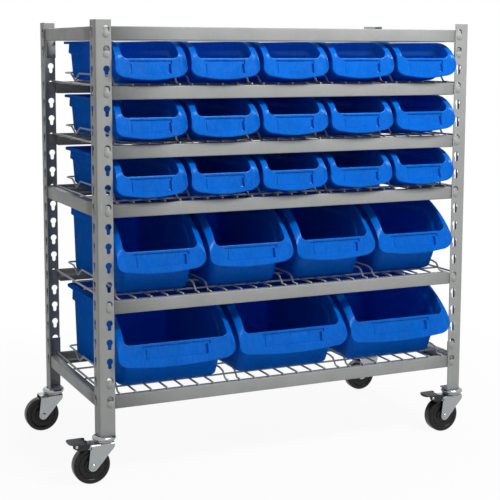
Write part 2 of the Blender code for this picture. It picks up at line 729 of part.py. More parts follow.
def build():
    """Makes every part."""
    clear_scene()
    cart = collection("mobile_bin_cart")
    collection("cutters")
    grey = material("grey_powder_coat", (0.42, 0.42, 0.41), 0.45, 0.2)
    wire_grey = material("grey_coated_wire", (0.40, 0.40, 0.39), 0.4, 0.3)
    blue = material("blue_polypropylene", (0.0, 0.07, 0.42), 0.3, 0.0)
    zinc = material("bright_zinc_plate", (0.55, 0.55, 0.54), 0.3, 1.0)
    black = material("black_wheel_rubber", (0.012, 0.012, 0.012), 0.5, 0.0)
    dark = material("black_painted_steel", (0.02, 0.022, 0.026), 0.45, 0.2)

    post = post_mesh()
    corners = {"front_left": (1, 1), "front_right": (-1, 1), "back_left": (1, -1), "back_right": (-1, -1)}
    for where, (sx, sy) in corners.items():
        place("post_" + where, flipped(post, sx, sy), grey, cart, (-sx * FRAME_W / 2, -sy * FRAME_D / 2, CASTER_H))

    for level in range(len(BEAM_KEYS)):
        beam = beam_mesh(FRAME_W, level)
        y = FRAME_D / 2 - BEAM_FACE_IN
        number = str(level + 1)
        place("beam_front_" + number, beam, grey, cart, (0, -y, beam_top(level)))
        place("beam_back_" + number, flipped(beam, 1, -1), grey, cart, (0, y, beam_top(level)))
    for level in SIDE_BEAM_ROWS:
        beam = beam_mesh(FRAME_D, level)
        x = FRAME_W / 2 - BEAM_FACE_IN
        number = str(level + 1)
        turn = Matrix.Rotation(-math.pi / 2, 4, "Z")
        left = beam.copy()
        left.transform(turn)
        place("beam_left_" + number, left, grey, cart, (-x, 0, beam_top(level)))
        place("beam_right_" + number, flipped(left, -1, 1), grey, cart, (x, 0, beam_top(level)))

    small = BinShape(5, SMALL_BAY, SMALL_BAY, 0.0327, 0.042, 0.027, 3)
    medium = BinShape(4, LOWER_BAY, LOWER_BAY_DRAWN, 0.0668, 0.045, 0.036, 4)
    large = BinShape(3, LOWER_BAY, LOWER_BAY_DRAWN, 0.0628, 0.049, 0.036, 6)
    rows = [(1, "small_1", small), (2, "small_2", small), (3, "small_3", small), (4, "medium", medium),
            (5, "large", large)]
    meshes = {small: bin_mesh(small, 1, 2), medium: bin_mesh(medium, 2, 3), large: bin_mesh(large, 2, 3)}
    for level, label, shape in rows:
        place("wire_deck_" + str(level), deck_mesh(shape.count, shape.plain_wires), wire_grey, cart,
              (0, 0, beam_top(level)))
        for i, x in enumerate(bin_centres(shape.count)):
            place("bin_" + label + "_" + str(i + 1), meshes[shape], blue, cart,
                  (x, 0, beam_top(level) + DECK_TOP + GAP))

    braked, plain = fork_mesh()
    wheel = wheel_mesh()
    pedal = pedal_mesh()
    for where, (sx, sy) in corners.items():
        x = -sx * (FRAME_W / 2 - CASTER_INSET)
        y = -sy * (FRAME_D / 2 - CASTER_INSET)
        has_brake = where.startswith("front")
        fork = place("caster_fork_" + where, braked if has_brake else plain, zinc, cart, (x, y, 0))
        place("wheel_" + where, wheel, black, cart, (-TRAIL, 0, WHEEL_R), fork)
        if has_brake:
            place("brake_pedal_" + where, pedal, dark, cart, (-PEDAL_PIVOT_BACK, 0, PEDAL_PIVOT_Z), fork)


build()
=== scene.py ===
"""Mobile bin cart, dressed: keyhole posts, folded beams, wire decks, hopper bins and braked casters.

Every new piece is a surface worked out with numpy in metres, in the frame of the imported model.
"""
import math

import bmesh
import bpy
import numpy as np
from bpy.props import FloatProperty, FloatVectorProperty, IntProperty, PointerProperty
from mathutils import Matrix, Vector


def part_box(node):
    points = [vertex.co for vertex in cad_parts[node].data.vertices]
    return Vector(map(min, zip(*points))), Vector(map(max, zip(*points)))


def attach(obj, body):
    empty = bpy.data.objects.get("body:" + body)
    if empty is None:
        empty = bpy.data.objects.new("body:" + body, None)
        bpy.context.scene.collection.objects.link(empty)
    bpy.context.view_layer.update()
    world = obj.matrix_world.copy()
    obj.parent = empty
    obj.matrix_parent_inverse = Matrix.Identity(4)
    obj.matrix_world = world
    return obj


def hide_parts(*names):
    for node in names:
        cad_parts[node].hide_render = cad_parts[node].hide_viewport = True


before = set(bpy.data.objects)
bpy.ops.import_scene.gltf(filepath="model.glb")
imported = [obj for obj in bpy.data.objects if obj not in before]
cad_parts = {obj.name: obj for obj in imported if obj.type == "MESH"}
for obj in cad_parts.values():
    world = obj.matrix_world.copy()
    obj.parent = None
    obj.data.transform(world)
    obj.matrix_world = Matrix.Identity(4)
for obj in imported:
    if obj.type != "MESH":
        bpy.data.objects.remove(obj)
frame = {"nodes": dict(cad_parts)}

bl_info = {
    "name": "Mobile bin cart",
    "version": (1, 0, 0),
    "blender": (4, 5, 0),
    "location": "View3D > Sidebar > Bin cart",
    "description": "Builds the finished surfaces of a keyhole rack on casters with hopper bins",
    "category": "Object",
}

PHOTO_SIDE = 500.0
MM = 0.001
CORNERS = {"front_left": (-1, -1), "front_right": (1, -1), "back_left": (-1, 1), "back_right": (1, 1)}
LEVELS = 6
SIDE_LEVELS = (1, 4, 6)
# Swoop of a bin's front: how far the mouth and the brim run back from the nose, and the powers of its curve
ROUND_SWOOP = (0.075, 0.075, 2.0, 2.0)
SLANT_SWOOP = (0.092, 0.114, 1.45, 1.2)
# Row of bins: deck number, name, bins in the row, plain wires under a bin, swoop, drop of the lip, height of
# the apron, drop of the shoulder, then of the label place its half width, how far its lower part is narrower
# at each end, the width of the slot at its right end and how much wider that slot is at the bottom
ROWS = (
    (1, "small_1", 5, 3, ROUND_SWOOP, 0.0327, 0.042, 0.027, 0.0430, 0.0020, 0.0030, 0.0035),
    (2, "small_2", 5, 3, ROUND_SWOOP, 0.0327, 0.042, 0.027, 0.0430, 0.0020, 0.0030, 0.0035),
    (3, "small_3", 5, 3, ROUND_SWOOP, 0.0327, 0.042, 0.027, 0.0430, 0.0020, 0.0030, 0.0035),
    (4, "medium", 4, 4, SLANT_SWOOP, 0.0668, 0.045, 0.036, 0.0585, 0.0062, 0.0048, 0.0),
    (5, "large", 3, 6, SLANT_SWOOP, 0.0628, 0.049, 0.036, 0.0724, 0.0060, 0.0052, 0.0),
)


def low(node):
    """Lowest corner of a CAD node's box."""
    return np.array(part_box(node)[0], dtype=float)


def high(node):
    """Highest corner of a CAD node's box."""
    return np.array(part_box(node)[1], dtype=float)


def linear(code):
    """Linear red, green and blue of an sRGB hex colour."""
    value = np.array([int(code[i:i + 2], 16) for i in (1, 3, 5)]) / 255.0
    return tuple(np.where(value <= 0.04045, value / 12.92, ((value + 0.055) / 1.055) ** 2.4).tolist())


# The raceway under a post is the widest part of its node, so the node's middle is the swivel axis
POST_LOW = low("post_front_left")
POST_HIGH = high("post_front_left")
SWIVEL = (POST_LOW + POST_HIGH) / 2
RACE_R = float(POST_HIGH[0] - POST_LOW[0]) / 2
CASTER_INSET = 12.5 * MM
FRAME_HALF_X = CASTER_INSET - float(SWIVEL[0])
FRAME_HALF_Y = CASTER_INSET - float(SWIVEL[1])
POST_TOP = float(POST_HIGH[2])
RACE_DEPTH = 0.0066
FOOT_Z = float(POST_LOW[2]) + RACE_DEPTH
FLANGE = 32.5 * MM


# Dust from the floor on the wheels, and the cool sheen of the bins' waxy skin
DUST = linear("#292826")
SHEEN = linear("#B3E1FF")


def length(name, description, default):
    """A size property in metres."""
    return FloatProperty(name=name, description=description, default=default, unit="LENGTH", precision=4)


def colour(name, description, code):
    """A colour property from an sRGB hex colour."""
    value = linear(code)
    return FloatVectorProperty(name=name, description=description, default=value, subtype="COLOR", size=3)


class CartSizes(bpy.types.PropertyGroup):
    """Sizes of the cart's surfaces."""

    key_radius: length("Keyhole radius", "Radius of the round part of a keyhole", 0.0066)
    key_tail: length("Keyhole tail", "Drop from the middle of the round part to the tail's end", 0.0152)
    key_slot: length("Keyhole slot", "Half the width of the tail", 0.0038)
    key_pitch: length("Keyhole pitch", "Distance from one keyhole to the next", 0.0381)
    key_column: length("Keyhole column", "Distance of the keyholes from the post's fold", 0.0225)
    key_drop: length("First keyhole", "Drop of the first keyhole from the post's top", 0.0177)
    key_count: IntProperty(name="Keyholes", description="Keyholes in each flange", default=20)
    post_sheet: length("Post sheet", "Thickness of the post's sheet", 0.0018)
    post_bend: length("Post bend", "Outer radius of the post's fold", 0.0032)
    beam_height: length("Beam height", "Height of a beam's web", 0.026)
    beam_ledge: length("Beam ledge", "Depth of a beam's ledges", 0.015)
    beam_sheet: length("Beam sheet", "Thickness of the beam's sheet", 0.0015)
    beam_inset: length("Beam inset", "Distance of a beam's web behind the post's face", 0.0021)
    beam_bend: length("Beam bend", "Outer radius of the beam's folds", 0.0020)
    rivet_radius: length("Rivet radius", "Radius of a rivet's head", 0.0072)
    rivet_height: length("Rivet height", "Height of a rivet's head", 0.0018)
    wire: length("Wire", "Diameter of the deck wires", 0.0040)
    side_wire: length("Side wire", "Diameter of the deck's edge wire", 0.0044)
    bin_wall: length("Bin wall", "Thickness of a bin's wall", 0.0025)
    rim_sheet: length("Rim sheet", "Thickness of a bin's rim", 0.0022)
    rim_turn: length("Rim turn", "Height of the turned edge round a bin's rim", 0.0056)
    wheel_groove: length("Wheel groove", "Radius of the groove on a wheel's face", 0.0270)


class CartColours(bpy.types.PropertyGroup):
    """Colours of the cart's finishes."""

    frame: colour("Frame", "Grey powder coat of the posts and beams", "#999B99")
    wire: colour("Wire", "Grey powder coat of the wires", "#ABADAC")
    plastic: colour("Bins", "Blue polypropylene of the bins", "#0069D1")
    zinc: colour("Zinc", "Bright zinc plate of the casters", "#A3A5A4")
    wheel: colour("Wheels", "Black rubber of the wheels", "#111010")
    pedal: colour("Pedals", "Black paint of the brake pedals", "#25282B")
    floor: colour("Floor", "Pale studio floor", "#DCDCDC")


# Meshes from arrays

class Surface:
    """Grids of points gathered for one mesh."""

    def __init__(self):
        self.points = []
        self.faces = []
        self.size = 0

    def grid(self, points, wrap_rows=False, wrap_columns=False):
        """Adds quads between neighbours of points[row, column]; where it wraps, the last joins the first."""
        rows, columns = points.shape[:2]
        index = np.arange(rows * columns).reshape(rows, columns) + self.size
        if wrap_rows:
            index = np.vstack([index, index[:1]])
        if wrap_columns:
            index = np.hstack([index, index[:, :1]])
        corners = (index[:-1, :-1], index[:-1, 1:], index[1:, 1:], index[1:, :-1])
        self.points.append(points.reshape(-1, 3))
        self.faces.append(np.stack(corners, axis=-1).reshape(-1, 4))
        self.size += rows * columns

    def cap(self, ring):
        """Closes a ring with a fan of triangles about its mean point."""
        count = len(ring)
        index = np.arange(count) + self.size
        middle = np.full(count, self.size + count)
        self.points.append(np.vstack([ring, ring.mean(axis=0)]))
        self.faces.append(np.stack([index, np.roll(index, -1), middle], axis=-1))
        self.size += count + 1

    def tube(self, sections):
        """Adds closed sections[row, point] as a skin, with both ends closed."""
        self.grid(sections, wrap_columns=True)
        self.cap(sections[0])
        self.cap(sections[-1])

    def lathe(self, profile, axis, centre, sides, closed=False):
        """Adds (radius, height) pairs turned about an axis through a centre: each point circles at its
        radius. A closed profile has its last point joined to its first."""
        profile = np.asarray(profile, dtype=float)
        angle = np.arange(sides) * 2 * np.pi / sides
        around = {"X": (1, 2), "Y": (2, 0), "Z": (0, 1)}[axis]
        points = np.zeros((len(profile), sides, 3))
        points[..., around[0]] = profile[:, :1] * np.cos(angle)
        points[..., around[1]] = profile[:, :1] * np.sin(angle)
        points[..., "XYZ".index(axis)] = profile[:, 1:]
        self.grid(points + np.asarray(centre, dtype=float), wrap_rows=closed, wrap_columns=True)

    def mesh(self, name, smooth=38.0, solid=True):
        """Welds the grids into a mesh that is shaded smooth up to an angle in degrees. Faces of a solid are
        turned outward; those of an open sheet keep the side of their grids."""
        points = np.concatenate(self.points)
        loops = np.concatenate([f.ravel() for f in self.faces])
        totals = np.concatenate([np.full(len(f), f.shape[1]) for f in self.faces])
        mesh = bpy.data.meshes.new(name)
        mesh.vertices.add(len(points))
        mesh.vertices.foreach_set("co", points.astype(np.float32).ravel())
        mesh.loops.add(len(loops))
        mesh.loops.foreach_set("vertex_index", loops.astype(np.int32))
        mesh.polygons.add(len(totals))
        mesh.polygons.foreach_set("loop_start", (np.cumsum(totals) - totals).astype(np.int32))
        mesh.update(calc_edges=True)
        mesh.validate()
        bm = bmesh.new()
        bm.from_mesh(mesh)
        bmesh.ops.remove_doubles(bm, verts=bm.verts, dist=0.00002)
        bmesh.ops.dissolve_degenerate(bm, edges=bm.edges, dist=0.000005)
        if solid:
            bmesh.ops.recalc_face_normals(bm, faces=bm.faces)
        bm.to_mesh(mesh)
        bm.free()
        mesh.shade_smooth()
        mesh.set_sharp_from_angle(angle=math.radians(smooth))
        return mesh


def unit(vectors):
    """Each vector divided by its length."""
    return vectors / np.maximum(np.linalg.norm(vectors, axis=-1, keepdims=True), 1e-12)


def rounded(corners, radius, steps=5, closed=False):
    """A polyline whose corners are arcs: from the point where a circle of the radius leaves one side, along
    A + r (sin(a) d + (1 - cos(a)) n), to where it meets the next. The radius shrinks on short sides."""
    points = np.asarray(corners, dtype=float)
    if closed:
        before, middle, after = np.roll(points, 1, axis=0), points, np.roll(points, -1, axis=0)
    else:
        before, middle, after = points[:-2], points[1:-1], points[2:]
    inward = unit(middle - before)
    outward = unit(after - middle)
    turn = np.arccos(np.clip((inward * outward).sum(axis=1), -1, 1))
    reach = np.minimum(np.linalg.norm(middle - before, axis=1), np.linalg.norm(after - middle, axis=1))
    cut = np.minimum(radius * np.tan(turn / 2), 0.49 * reach)
    true_radius = cut / np.maximum(np.tan(turn / 2), 1e-9)
    normal = unit(outward - (inward * outward).sum(axis=1, keepdims=True) * inward)
    angle = turn[:, None] * np.linspace(0, 1, steps)[None, :]
    start = middle - cut[:, None] * inward
    arc = start[:, None, :] + true_radius[:, None, None] * (
        np.sin(angle)[..., None] * inward[:, None, :] + (1 - np.cos(angle))[..., None] * normal[:, None, :]
    )
    arc = arc.reshape(-1, points.shape[1])
    return arc if closed else np.vstack([points[:1], arc, points[-1:]])


def add_wire(surface, path, radius, sides=8):
    """A round wire with closed ends: circles P + r (cos(a) u + sin(a) v) stand square to the path, where u is
    the upright direction made square to the path and v is square to both."""
    path = np.asarray(path, dtype=float)
    along = unit(np.gradient(path, axis=0))
    up = np.array([0.0, 0.0, 1.0])
    first = unit(up - (along @ up)[:, None] * along)
    second = np.cross(along, first)
    angle = np.arange(sides) * 2 * np.pi / sides
    ring = np.cos(angle)[:, None, None] * first + np.sin(angle)[:, None, None] * second
    surface.tube(path[:, None, :] + radius * ring.transpose(1, 0, 2))


def folded_sheet(path, rear, front, columns):
    """A sheet over a path in the YZ plane: at each step it spans x from rear to front in even columns."""
    share = np.linspace(0, 1, columns)
    x = np.asarray(rear)[:, None] * (1 - share) + np.asarray(front)[:, None] * share
    path = np.asarray(path, dtype=float)
    return np.stack([x, np.repeat(path[:, :1], columns, 1), np.repeat(path[:, 1:], columns, 1)], axis=-1)


def outward_from(mesh, centre):
    """Turns an open sheet as a whole so that its faces look away from a point."""
    count = len(mesh.polygons)
    middles = np.zeros(count * 3)
    normals = np.zeros(count * 3)
    mesh.polygons.foreach_get("center", middles)
    mesh.polygons.foreach_get("normal", normals)
    away = (middles.reshape(-1, 3) - np.asarray(centre)) * normals.reshape(-1, 3)
    if away.sum() < 0:
        mesh.flip_normals()


def face_toward(mesh, direction):
    """Turns every loose patch of an open sheet so that its flat faces look along a direction."""
    bm = bmesh.new()
    bm.from_mesh(mesh)
    goal = np.asarray(direction, dtype=float)
    seen = set()
    for face in bm.faces:
        if face.index in seen:
            continue
        patch = [face]
        seen.add(face.index)
        for member in patch:
            for edge in member.edges:
                for other in edge.link_faces:
                    if other.index not in seen:
                        seen.add(other.index)
                        patch.append(other)
        if sum(f.calc_area() * float(np.dot(f.normal, goal)) for f in patch) < 0:
            bmesh.ops.reverse_faces(bm, faces=patch)
    bm.to_mesh(mesh)
    bm.free()


# Materials

def add(tree, kind, sockets=None, **settings):
    """Adds a shader node, sets its properties, and sets or links its input sockets."""
    node = tree.nodes.new(kind)
    for name, value in settings.items():
        setattr(node, name, value)
    for socket, value in (sockets or {}).items():
        if isinstance(value, bpy.types.NodeSocket):
            tree.links.new(value, node.inputs[socket])
        else:
            node.inputs[socket].default_value = value
    return node


def new_material(name):
    """An empty node material, its tree, and the object's own coordinates."""
    material = bpy.data.materials.new(name)
    material.use_nodes = True
    tree = material.node_tree
    tree.nodes.clear()
    place = add(tree, "ShaderNodeTexCoord").outputs["Object"]
    return material, tree, place


def finish_material(tree, base, rough, normal, more):
    """The surface shader with its colour, roughness, relief and further settings, and the output."""
    sockets = {"Base Color": base, "Roughness": rough, "Normal": normal, **more}
    shader = add(tree, "ShaderNodeBsdfPrincipled", sockets)
    add(tree, "ShaderNodeOutputMaterial", {"Surface": shader.outputs["BSDF"]})


def shade(rgb, factor=1.0):
    """A colour made lighter or darker by a factor, as a colour socket takes it."""
    return (*(min(1.0, channel * factor) for channel in rgb), 1.0)


def pattern(tree, place, grain, span, detail=3.0, roughness=0.5, cut=(0.3, 0.7), stretch=None):
    """Blotches about as wide as the grain, and longer along an axis with a stretch under 1. Noise between the
    two cuts is drawn out to the span of values, and noise past a cut stays at the span's end."""
    if stretch:
        place = add(tree, "ShaderNodeMapping", {"Vector": place, "Scale": stretch}).outputs["Vector"]
    sockets = {"Vector": place, "Scale": 1.0 / grain, "Detail": detail, "Roughness": roughness}
    cloud = add(tree, "ShaderNodeTexNoise", sockets).outputs["Fac"]
    sockets = {"Value": cloud, 1: cut[0], 2: cut[1], 3: span[0], 4: span[1]}
    return add(tree, "ShaderNodeMapRange", sockets, clamp=True).outputs["Result"]


def patched(tree, place, base, other, grain, span=(0.0, 1.0), **how):
    """A colour that turns into another where a pattern is high."""
    share = pattern(tree, place, grain, span, **how)
    return add(tree, "ShaderNodeMix", {0: share, 6: base, 7: other}, data_type="RGBA").outputs[2]


def relief(tree, place, grain, detail, strength, depth):
    """The normal of fine bumps about as wide as the grain."""
    sockets = {"Vector": place, "Scale": 1.0 / grain, "Detail": detail, "Roughness": 0.5}
    bumps = add(tree, "ShaderNodeTexNoise", sockets).outputs["Fac"]
    sockets = {"Height": bumps, "Strength": strength, "Distance": depth}
    return add(tree, "ShaderNodeBump", sockets).outputs["Normal"]


def powder_coated_steel(name, rgb, roughness):
    """Powder-coated steel: baked polyester powder gives a satin grey with a fine orange peel."""
    material, tree, place = new_material(name)
    # The coat is a touch thicker in places: blotches of about 60 mm
    base = patched(tree, place, shade(rgb, 0.93), shade(rgb, 1.05), 60 * MM, detail=4)
    # Rubbed streaks of about 4 mm by 40 mm along the posts
    along = (1, 1, 0.1)
    base = patched(tree, place, base, shade(rgb, 1.12), 4 * MM, detail=2, cut=(0.62, 0.78), stretch=along)
    # Real orange peel is about 0.8 mm across; drawn at 2 mm so that it shows
    peel = relief(tree, place, 2 * MM, 2, 0.12, 0.4 * MM)
    rough = pattern(tree, place, 25 * MM, (roughness - 0.05, roughness + 0.08))
    finish_material(tree, base, rough, peel, {"IOR": 1.5, "Specular IOR Level": 0.2})
    return material


def moulded_polypropylene(name, rgb):
    """Injection-moulded polypropylene: a waxy blue with faint flow marks and handling scuffs."""
    material, tree, place = new_material(name)
    # Flow of the melt: blotches of about 50 mm
    base = patched(tree, place, shade(rgb, 0.90), shade(rgb, 1.06), 50 * MM)
    # Scuffs from sliding out: streaks 2 mm wide and 40 mm long, a little paler and duller
    scuff = pattern(tree, place, 2 * MM, (0.0, 0.35), roughness=0.6, cut=(0.56, 0.72), stretch=(1, 0.05, 1))
    patch = pattern(tree, place, 70 * MM, (0.0, 1.0), detail=2, cut=(0.5, 0.72))
    worn = add(tree, "ShaderNodeMath", {0: scuff, 1: patch}, operation="MULTIPLY").outputs[0]
    base = add(tree, "ShaderNodeMix", {0: worn, 6: base, 7: shade(rgb, 1.5)}, data_type="RGBA").outputs[2]
    gloss = pattern(tree, place, 18 * MM, (0.24, 0.36), detail=4)
    rough = add(tree, "ShaderNodeMath", {0: worn, 1: 0.3, 2: gloss}, operation="MULTIPLY_ADD").outputs[0]
    # The tool's fine texture is about 0.5 mm; drawn at 1.6 mm so that it shows
    grain = relief(tree, place, 1.6 * MM, 2, 0.07, 0.3 * MM)
    # The wall lets some light through, and its waxy skin mirrors little and evenly: upright streaks of about
    # 3 mm shine up to five times as much as the rest
    body = add(tree, "ShaderNodeBsdfPrincipled", {
        "Base Color": base, "Roughness": rough, "Specular IOR Level": 0.0, "Normal": grain,
    })
    through = add(tree, "ShaderNodeBsdfTranslucent", {"Color": shade(rgb, 1.3)})
    wall = add(tree, "ShaderNodeMixShader", {0: 0.22, 1: body.outputs[0], 2: through.outputs[0]})
    wax = add(tree, "ShaderNodeBsdfGlossy", {"Color": shade(SHEEN), "Roughness": rough, "Normal": grain})
    streaks = {"roughness": 0.6, "cut": (0.38, 0.68), "stretch": (1, 1, 0.12)}
    share = pattern(tree, place, 3 * MM, (0.007, 0.034), **streaks)
    skin = add(tree, "ShaderNodeMixShader", {0: share, 1: wall.outputs[0], 2: wax.outputs[0]})
    add(tree, "ShaderNodeOutputMaterial", {"Surface": skin.outputs[0]})
    return material


def bright_zinc_plate(name, rgb, roughness):
    """Bright zinc plate on pressed steel: a cool metal with faint blue and straw tints of the passivation."""
    material, tree, place = new_material(name)
    cool = (rgb[0] * 0.88, rgb[1] * 0.94, rgb[2], 1)
    warm = (rgb[0], rgb[1] * 0.96, rgb[2] * 0.86, 1)
    # Blotches of the passivation: bluish ones of about 16 mm, and fainter straw ones of about 11 mm
    base = patched(tree, place, cool, shade(rgb), 16 * MM, detail=2)
    base = patched(tree, place, base, warm, 11 * MM, (0.0, 0.5), detail=2, cut=(0.55, 0.75))
    # Rolling marks of about 1.2 mm
    marks = relief(tree, place, 1.2 * MM, 3, 0.02, 0.2 * MM)
    rough = pattern(tree, place, 9 * MM, (roughness - 0.04, roughness + 0.06), detail=2)
    finish_material(tree, base, rough, marks, {"Metallic": 1.0})
    return material


def black_rubber(name, rgb):
    """Hard black rubber: a satin moulded surface, greyed in blotches by floor dust."""
    material, tree, place = new_material(name)
    # Dust in blotches of about 9 mm
    base = patched(tree, place, shade(rgb), shade(DUST), 9 * MM, (0.0, 0.5), detail=5, roughness=0.6,
                   cut=(0.5, 0.8))
    # The mould's grain, about 1 mm
    grain = relief(tree, place, 1.0 * MM, 3, 0.15, 0.3 * MM)
    rough = pattern(tree, place, 7 * MM, (0.26, 0.38))
    finish_material(tree, base, rough, grain, {"IOR": 1.52, "Specular IOR Level": 0.25})
    return material


def black_stove_enamel(name, rgb):
    """Black stove enamel on folded steel: satin black, rubbed paler where the foot treads."""
    material, tree, place = new_material(name)
    # Rubbed places of about 5 mm
    base = patched(tree, place, shade(rgb), shade(rgb, 1.8), 5 * MM, (0.0, 0.6), detail=5, roughness=0.65,
                   cut=(0.52, 0.75))
    # Runs and dust in the enamel, about 1.5 mm
    runs = relief(tree, place, 1.5 * MM, 2, 0.10, 0.3 * MM)
    rough = pattern(tree, place, 6 * MM, (0.36, 0.5))
    finish_material(tree, base, rough, runs, {"IOR": 1.5, "Specular IOR Level": 0.25})
    return material


# Slot: its material's name, the function that makes it, its colour, and the roughness of steel
FINISHES = {
    "frame_grey": ("frame_powder_coat", powder_coated_steel, "frame", 0.42),
    "wire_grey": ("wire_powder_coat", powder_coated_steel, "wire", 0.36),
    "bin_blue": ("bin_polypropylene", moulded_polypropylene, "plastic"),
    "caster_zinc": ("caster_zinc_plate", bright_zinc_plate, "zinc", 0.24),
    "wheel_black": ("wheel_rubber", black_rubber, "wheel"),
    "pedal_black": ("pedal_enamel", black_stove_enamel, "pedal"),
}


def finish(slot):
    """The material of a slot, made the first time it is asked for."""
    name, make, colour_name, *roughness = FINISHES[slot]
    rgb = getattr(bpy.context.scene.cart_colours, colour_name)
    return bpy.data.materials.get(name) or make(name, rgb, *roughness)


def piece(name, mesh, slot, body, nodes=()):
    """A finished piece that rides on a body, takes the material of a slot and hides the CAD nodes it stands
    for.
    """
    mesh.materials.clear()
    mesh.materials.append(finish(slot))
    made = bpy.data.objects.new(name, mesh)
    bpy.context.scene.collection.objects.link(made)
    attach(made, body)
    if nodes:
        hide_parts(*nodes)
    return made


def moved(mesh, name, offset=(0, 0, 0), mirror=(1, 1)):
    """A copy of a mesh, mirrored in X and Y where the sign is negative and then moved."""
    copy = mesh.copy()
    copy.name = name
    copy.transform(Matrix.Diagonal((mirror[0], mirror[1], 1, 1)))
    if mirror[0] * mirror[1] < 0:
        copy.flip_normals()
    copy.transform(Matrix.Translation(offset))
    return copy


def thicken(made, thickness, edge):
    """Gives an open sheet its thickness inward and breaks its sharp edges."""
    wall = made.modifiers.new("Sheet", "SOLIDIFY")
    wall.thickness = thickness
    wall.offset = -1
    if edge:
        bevel = made.modifiers.new("Edge", "BEVEL")
        bevel.width = edge
        bevel.segments = 2
        bevel.limit_method = "ANGLE"
        bevel.angle_limit = math.radians(60)


# Posts

# A keyhole's outline is measured from a point in its neck, this far under the middle of its round part, and
# its cell of the sheet reaches this far over that middle
KEY_NECK = 0.0050
KEY_CELL_RISE = 0.01475
# Points down a side of the cell, and along its top and bottom
CELL_TALL = 15
CELL_WIDE = 9


def keyhole_reach(angle, sizes):
    """Distance from the neck to a keyhole's edge at each angle: the further of the round part's circle,
    n sin(a) + sqrt(R^2 - n^2 cos(a)^2), n being the neck's drop, and the tail, a slot with a round end."""
    sine, cosine = np.sin(angle), np.cos(angle)
    circle = KEY_NECK * sine + np.sqrt(sizes.key_radius ** 2 - (KEY_NECK * cosine) ** 2)
    half = sizes.key_slot
    below = sizes.key_tail - half - KEY_NECK
    side = half / np.maximum(np.abs(cosine), 1e-6)
    under_root = np.maximum(half ** 2 - (below * cosine) ** 2, 0.0)
    end = -below * sine + np.sqrt(under_root)
    slot = np.where(-side * sine <= below, side, end)
    return np.where(sine < 0, np.maximum(circle, slot), circle)


def fold_over(across, height, flange, bend):
    """Folds a flat strip into an angle: straight along +X to the bend, a quarter circle, then along +Y."""
    flat = flange - bend
    turn = np.clip((across - flat) / bend, 0, np.pi / 2)
    past = np.maximum(across - flat - bend * np.pi / 2, 0)
    x = np.where(across < flat, flange - across, bend - bend * np.sin(turn))
    y = bend - bend * np.cos(turn) + past
    return np.stack([x, y, height], axis=-1)


def post_skin(sizes):
    """Outer skin of a post: round each keyhole a grid runs from the keyhole's edge to the border of its cell,
    edge (1 - t) + border t, and plain grids fill the fold, the top and the foot."""
    half = FLANGE - sizes.key_column
    rise, drop = KEY_CELL_RISE, sizes.key_pitch - KEY_CELL_RISE
    # Points down a cell's side lie at even angles about the neck
    lowest, highest = -math.atan((drop - KEY_NECK) / half), math.atan((rise + KEY_NECK) / half)
    steep = np.linspace(lowest, highest, CELL_TALL)
    side = -KEY_NECK + half * np.tan(steep)
    side[0], side[-1] = -drop, rise
    level = np.linspace(-half, half, CELL_WIDE)
    border = np.concatenate([
        np.stack([np.full(CELL_TALL, half), side], 1),
        np.stack([level[::-1], np.full(CELL_WIDE, rise)], 1)[1:-1],
        np.stack([np.full(CELL_TALL, -half), side[::-1]], 1),
        np.stack([level, np.full(CELL_WIDE, -drop)], 1)[1:-1],
    ])
    angle = np.arctan2(border[:, 1] + KEY_NECK, border[:, 0])
    reach = keyhole_reach(angle, sizes)
    edge = np.stack([reach * np.cos(angle), reach * np.sin(angle) - KEY_NECK], 1)
    share = np.array([0.0, 0.12, 0.45, 1.0])[:, None, None]
    cell = edge * (1 - share) + border * share
    flat = FLANGE - sizes.post_bend
    total = 2 * flat + sizes.post_bend * np.pi / 2
    surface = Surface()
    heights = POST_TOP - sizes.key_drop - np.arange(sizes.key_count) * sizes.key_pitch
    for height in heights:
        for column in (half, total - half):
            across = cell[..., 0] + column
            surface.grid(fold_over(across, cell[..., 1] + height, FLANGE, sizes.post_bend), wrap_columns=True)
    # Between the two columns of cells: a flat strip, the fold and a flat strip
    before = np.linspace(2 * half, flat, 3)[:-1]
    after = np.linspace(total - flat, total - 2 * half, 3)[1:]
    middle = np.concatenate([before, np.linspace(flat, total - flat, 8), after])
    rows = (heights[:, None] + side[None, ::-1]).ravel()
    across, height = np.meshgrid(middle, rows)
    surface.grid(fold_over(across, height, FLANGE, sizes.post_bend))
    every = np.concatenate([level + half, middle[1:-1], level + total - half])
    for start, end, count in ((POST_TOP, rows[0], 2), (rows[-1], FOOT_Z, 4)):
        across, height = np.meshgrid(every, np.linspace(start, end, count))
        surface.grid(fold_over(across, height, FLANGE, sizes.post_bend))
    mesh = surface.mesh("post", solid=False)
    inside = (0.1, 0.1, 0.5)
    outward_from(mesh, inside)
    return mesh


def swivel_axis(where):
    """Point on the floor under a caster's swivel axis."""
    sx, sy = CORNERS[where]
    return np.array([sx * (FRAME_HALF_X - CASTER_INSET), sy * (FRAME_HALF_Y - CASTER_INSET), 0.0])


def race_profile():
    """Half section of a pressed raceway: a cupped shoulder that runs out to a rolled skirt."""
    radius, top, bottom = RACE_R, FOOT_Z + 0.001, FOOT_Z - RACE_DEPTH
    return [
        (0.0, top - 1.0 * MM), (radius - 12 * MM, top - 1.0 * MM), (radius - 9 * MM, top),
        (radius - 5 * MM, top), (radius - 2.2 * MM, top - 1.6 * MM), (radius - 0.6 * MM, top - 3.4 * MM),
        (radius, top - 4.6 * MM),
        (radius, bottom + 0.9 * MM), (radius - 0.5 * MM, bottom + 0.2 * MM), (radius - 1.4 * MM, bottom),
        (radius - 3.5 * MM, bottom + 0.5 * MM), (0.0, bottom + 0.5 * MM),
    ]


